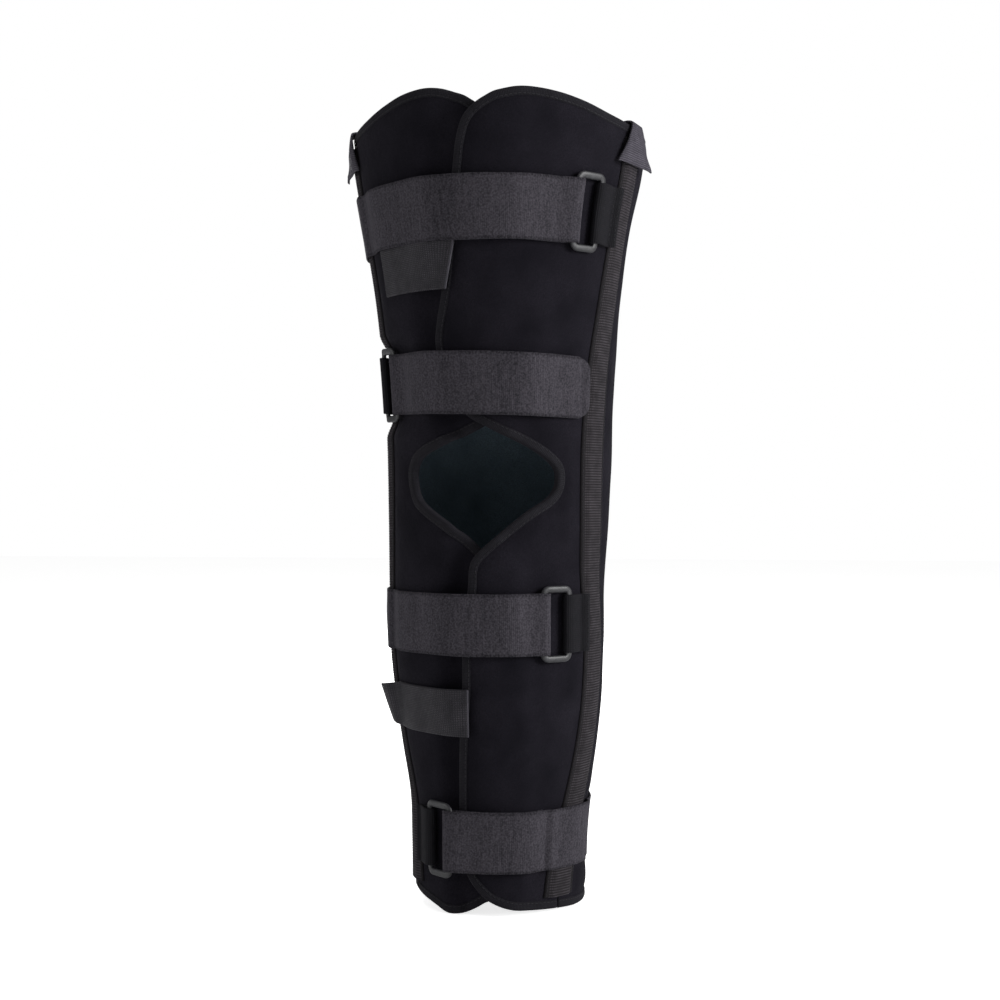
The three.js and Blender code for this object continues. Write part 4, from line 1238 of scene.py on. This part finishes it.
def ring_piece(strap):
    """A rounded frame that leans from the strap's bar to the anchor's bar."""
    half_across = (RING_WIDTH - RING_BAR) / 2
    half_up = (STRAP_WIDTH + RING_BAR) / 2 + RING_PLAY
    z, towards = strap["z"], strap["towards"]
    quarter = np.linspace(0, math.pi / 2, RING_CORNER_STEPS + 1)
    path = []
    for sx, sz in ((1, 1), (-1, 1), (-1, -1), (1, -1)):
        swing = math.atan2(sz, sx) - math.pi / 4 + quarter
        path.append(np.stack([
            sx * (half_across - RING_CORNER) + RING_CORNER * np.cos(swing),
            sz * (half_up - RING_CORNER) + RING_CORNER * np.sin(swing),
            np.cos(swing), np.sin(swing),
        ], -1))
    path = np.concatenate(path)
    swing = 2 * math.pi * (np.arange(RING_SIDES) + 0.5) / RING_SIDES
    wide, thick = (
        np.sign(at) * np.abs(at) ** RING_SQUARENESS * size / 2
        for at, size in ((np.cos(swing), RING_BAR), (np.sin(swing), RING_THICKNESS))
    )
    across = path[:, :1] + path[:, 2:3] * wide[None]
    up = path[:, 1:2] + path[:, 3:4] * wide[None]
    share = 0.5 + towards * across / (2 * half_across)
    lean = mix(strap["bar_offset"], strap["far_offset"], share)
    angle = strap["ring"] + degrees_for(across, z)
    sections = on_leg(angle, lean + thick[None], middle_of(strap, angle) + up)
    way = np.arange(len(path) + 1)[:, None] * MM
    turn = np.arange(RING_SIDES + 1)[None] * MM
    piece = Piece(f"{strap['name']}_ring")
    piece.sweep(sections, np.stack(np.broadcast_arrays(way, turn), -1) / MM, 0, closed=True)
    piece.build([RING_PLASTIC], [piece.name])


TAB_COLUMNS = 14
TAB_STEP = 0.6
CUT_START = 0.8
FLARE_END = 0.22
LOW_FLARE = 0.3
TAB_EDGE = 1.3 * MM
TAB_STITCH = 3.2 * MM
TAB_MARGIN = 2 * MM
TAB_SAG = 0.2 * MM
TAB_SETTLE = 0.1


def tab_piece(tab):
    middle = height_of(tab["level"])
    rest = rest_of(middle, TAB_HEIGHT)
    angle = steps(tab["left"], tab["right"], TAB_STEP)[:, None]
    share = (angle - tab["left"]) / (tab["right"] - tab["left"])
    up = np.linspace(-1, 1, TAB_COLUMNS)[None]
    at = angle + tab["slant"] * ramp(share, CUT_START, 1) * up
    free = 1 - ramp(share, 0, FLARE_END)
    loose = tab["flare"] * free * mix(LOW_FLARE, 1, (up + 1) / 2)
    z = middle + (TAB_HEIGHT / 2 - tab["taper"] * free) * up
    sag = TAB_SAG * np.sin(share * 9 + up * 1.5)
    between = ramp(share, 0, TAB_SETTLE) * (1 - ramp(share, 1 - TAB_SETTLE, 1))
    offset = rest(at) + TAB / 2 + loose + sag * between
    piece = Piece(f"{tab['name']}_tab")
    length = (tab["right"] - tab["left"]) * per_degree(middle)
    edge = share[:-1] > 1 - TAB_EDGE / length
    ribbon(piece, at, offset, z, TAB, paint=np.where(edge, 1, 0))
    reach = TAB_HEIGHT / 2 - TAB_MARGIN
    line_up = np.linspace(-reach, reach, 40)
    slanted = tab["right"] + tab["slant"] * line_up / (TAB_HEIGHT / 2)
    turn = slanted - TAB_STITCH / per_degree(middle)
    line = on_leg(turn, rest(turn) + TAB + THREAD_RISE, middle + line_up)
    out = line - on_leg(turn, 0, middle + line_up)
    piece.stitches(line, out, 2)
    piece.build([TAB_HOOKS, CUT_EDGE, DARK_THREAD], [piece.name])


for strap in straps:
    strap_piece(strap)
    anchor_piece(strap)
    ring_piece(strap)
for tab in TABS:
    tab_piece(tab)

# ---------------------------------------------------------------- floor, light and camera

FLOOR_SIZE = 12
FLOOR = cad_bounds[0].z - 0.5 * MM
FLOOR_GLOW = 0.75


def floor_finish():
    finish = Finish("pale_floor", roughness=0.9)
    patches = finish.noise(0.4, detail=2)
    finish.colour(finish.blend(patches, tone(240, 240, 240), tone(246, 246, 246)))
    finish.shader.inputs["Emission Color"].default_value = (1, 1, 1, 1)
    seen = finish.tree.nodes.new("ShaderNodeLightPath").outputs["Is Camera Ray"]
    glow = finish.times(seen, FLOOR_GLOW)
    finish.link(glow, finish.shader.inputs["Emission Strength"])
    return finish.material


floor_mesh = bpy.data.meshes.new("floor")
half = FLOOR_SIZE / 2
floor_mesh.from_pydata(
    [(-half, -half, FLOOR), (half, -half, FLOOR), (half, half, FLOOR), (-half, half, FLOOR)],
    [], [(0, 1, 2, 3)],
)
floor_mesh.materials.append(floor_finish())
placed("floor", floor_mesh)

# Soft boxes: where each stands, its size and its power in watts. All of them face the knee.
SOFT_BOXES = (
    dict(name="key", place=(2.0, -0.6, 0.5), size=0.9, power=56),
    dict(name="fill", place=(-1.9, -0.7, 0.3), size=1.2, power=12),
    dict(name="top", place=(0.1, -0.2, 2.2), size=2.4, power=20),
    dict(name="back", place=(-0.7, 2.2, 0.8), size=1.2, power=34),
)
for box in SOFT_BOXES:
    light = bpy.data.lights.new(box["name"], "AREA")
    light.size = box["size"]
    light.energy = box["power"]
    lamp = placed(box["name"], light)
    lamp.location = box["place"]
    lamp.rotation_euler = Vector(box["place"]).to_track_quat("Z", "Y").to_euler()

SURROUND = 0.24
BACKDROP = 1.0
world = bpy.data.worlds.new("studio")
world.use_nodes = True
nodes, links = world.node_tree.nodes, world.node_tree.links
surround = nodes["Background"]
backdrop = nodes.new("ShaderNodeBackground")
either = nodes.new("ShaderNodeMixShader")
path = nodes.new("ShaderNodeLightPath")
links.new(path.outputs["Is Camera Ray"], either.inputs[0])
for slot, (node, strength) in enumerate(((surround, SURROUND), (backdrop, BACKDROP)), 1):
    node.inputs["Color"].default_value = (1, 1, 1, 1)
    node.inputs["Strength"].default_value = strength
    links.new(node.outputs[0], either.inputs[slot])
links.new(either.outputs[0], nodes["World Output"].inputs["Surface"])
bpy.context.scene.world = world
bpy.context.scene.view_settings.view_transform = "Standard"

CAMERA_DISTANCE = 1.048
CAMERA_HEIGHT = -6.8 * MM
CAMERA_TURN = math.radians(8)
SEEN_WIDTH = 0.655
SENSOR = 36

camera_data = bpy.data.cameras.new("camera")
camera_data.sensor_width = SENSOR
camera_data.lens = SENSOR * CAMERA_DISTANCE / SEEN_WIDTH
camera = placed("camera", camera_data)
camera.location = (
    CAMERA_DISTANCE * math.sin(CAMERA_TURN), -CAMERA_DISTANCE * math.cos(CAMERA_TURN),
    CAMERA_HEIGHT,
)
camera.rotation_euler = (math.pi / 2, 0, CAMERA_TURN)
bpy.context.scene.camera = camera
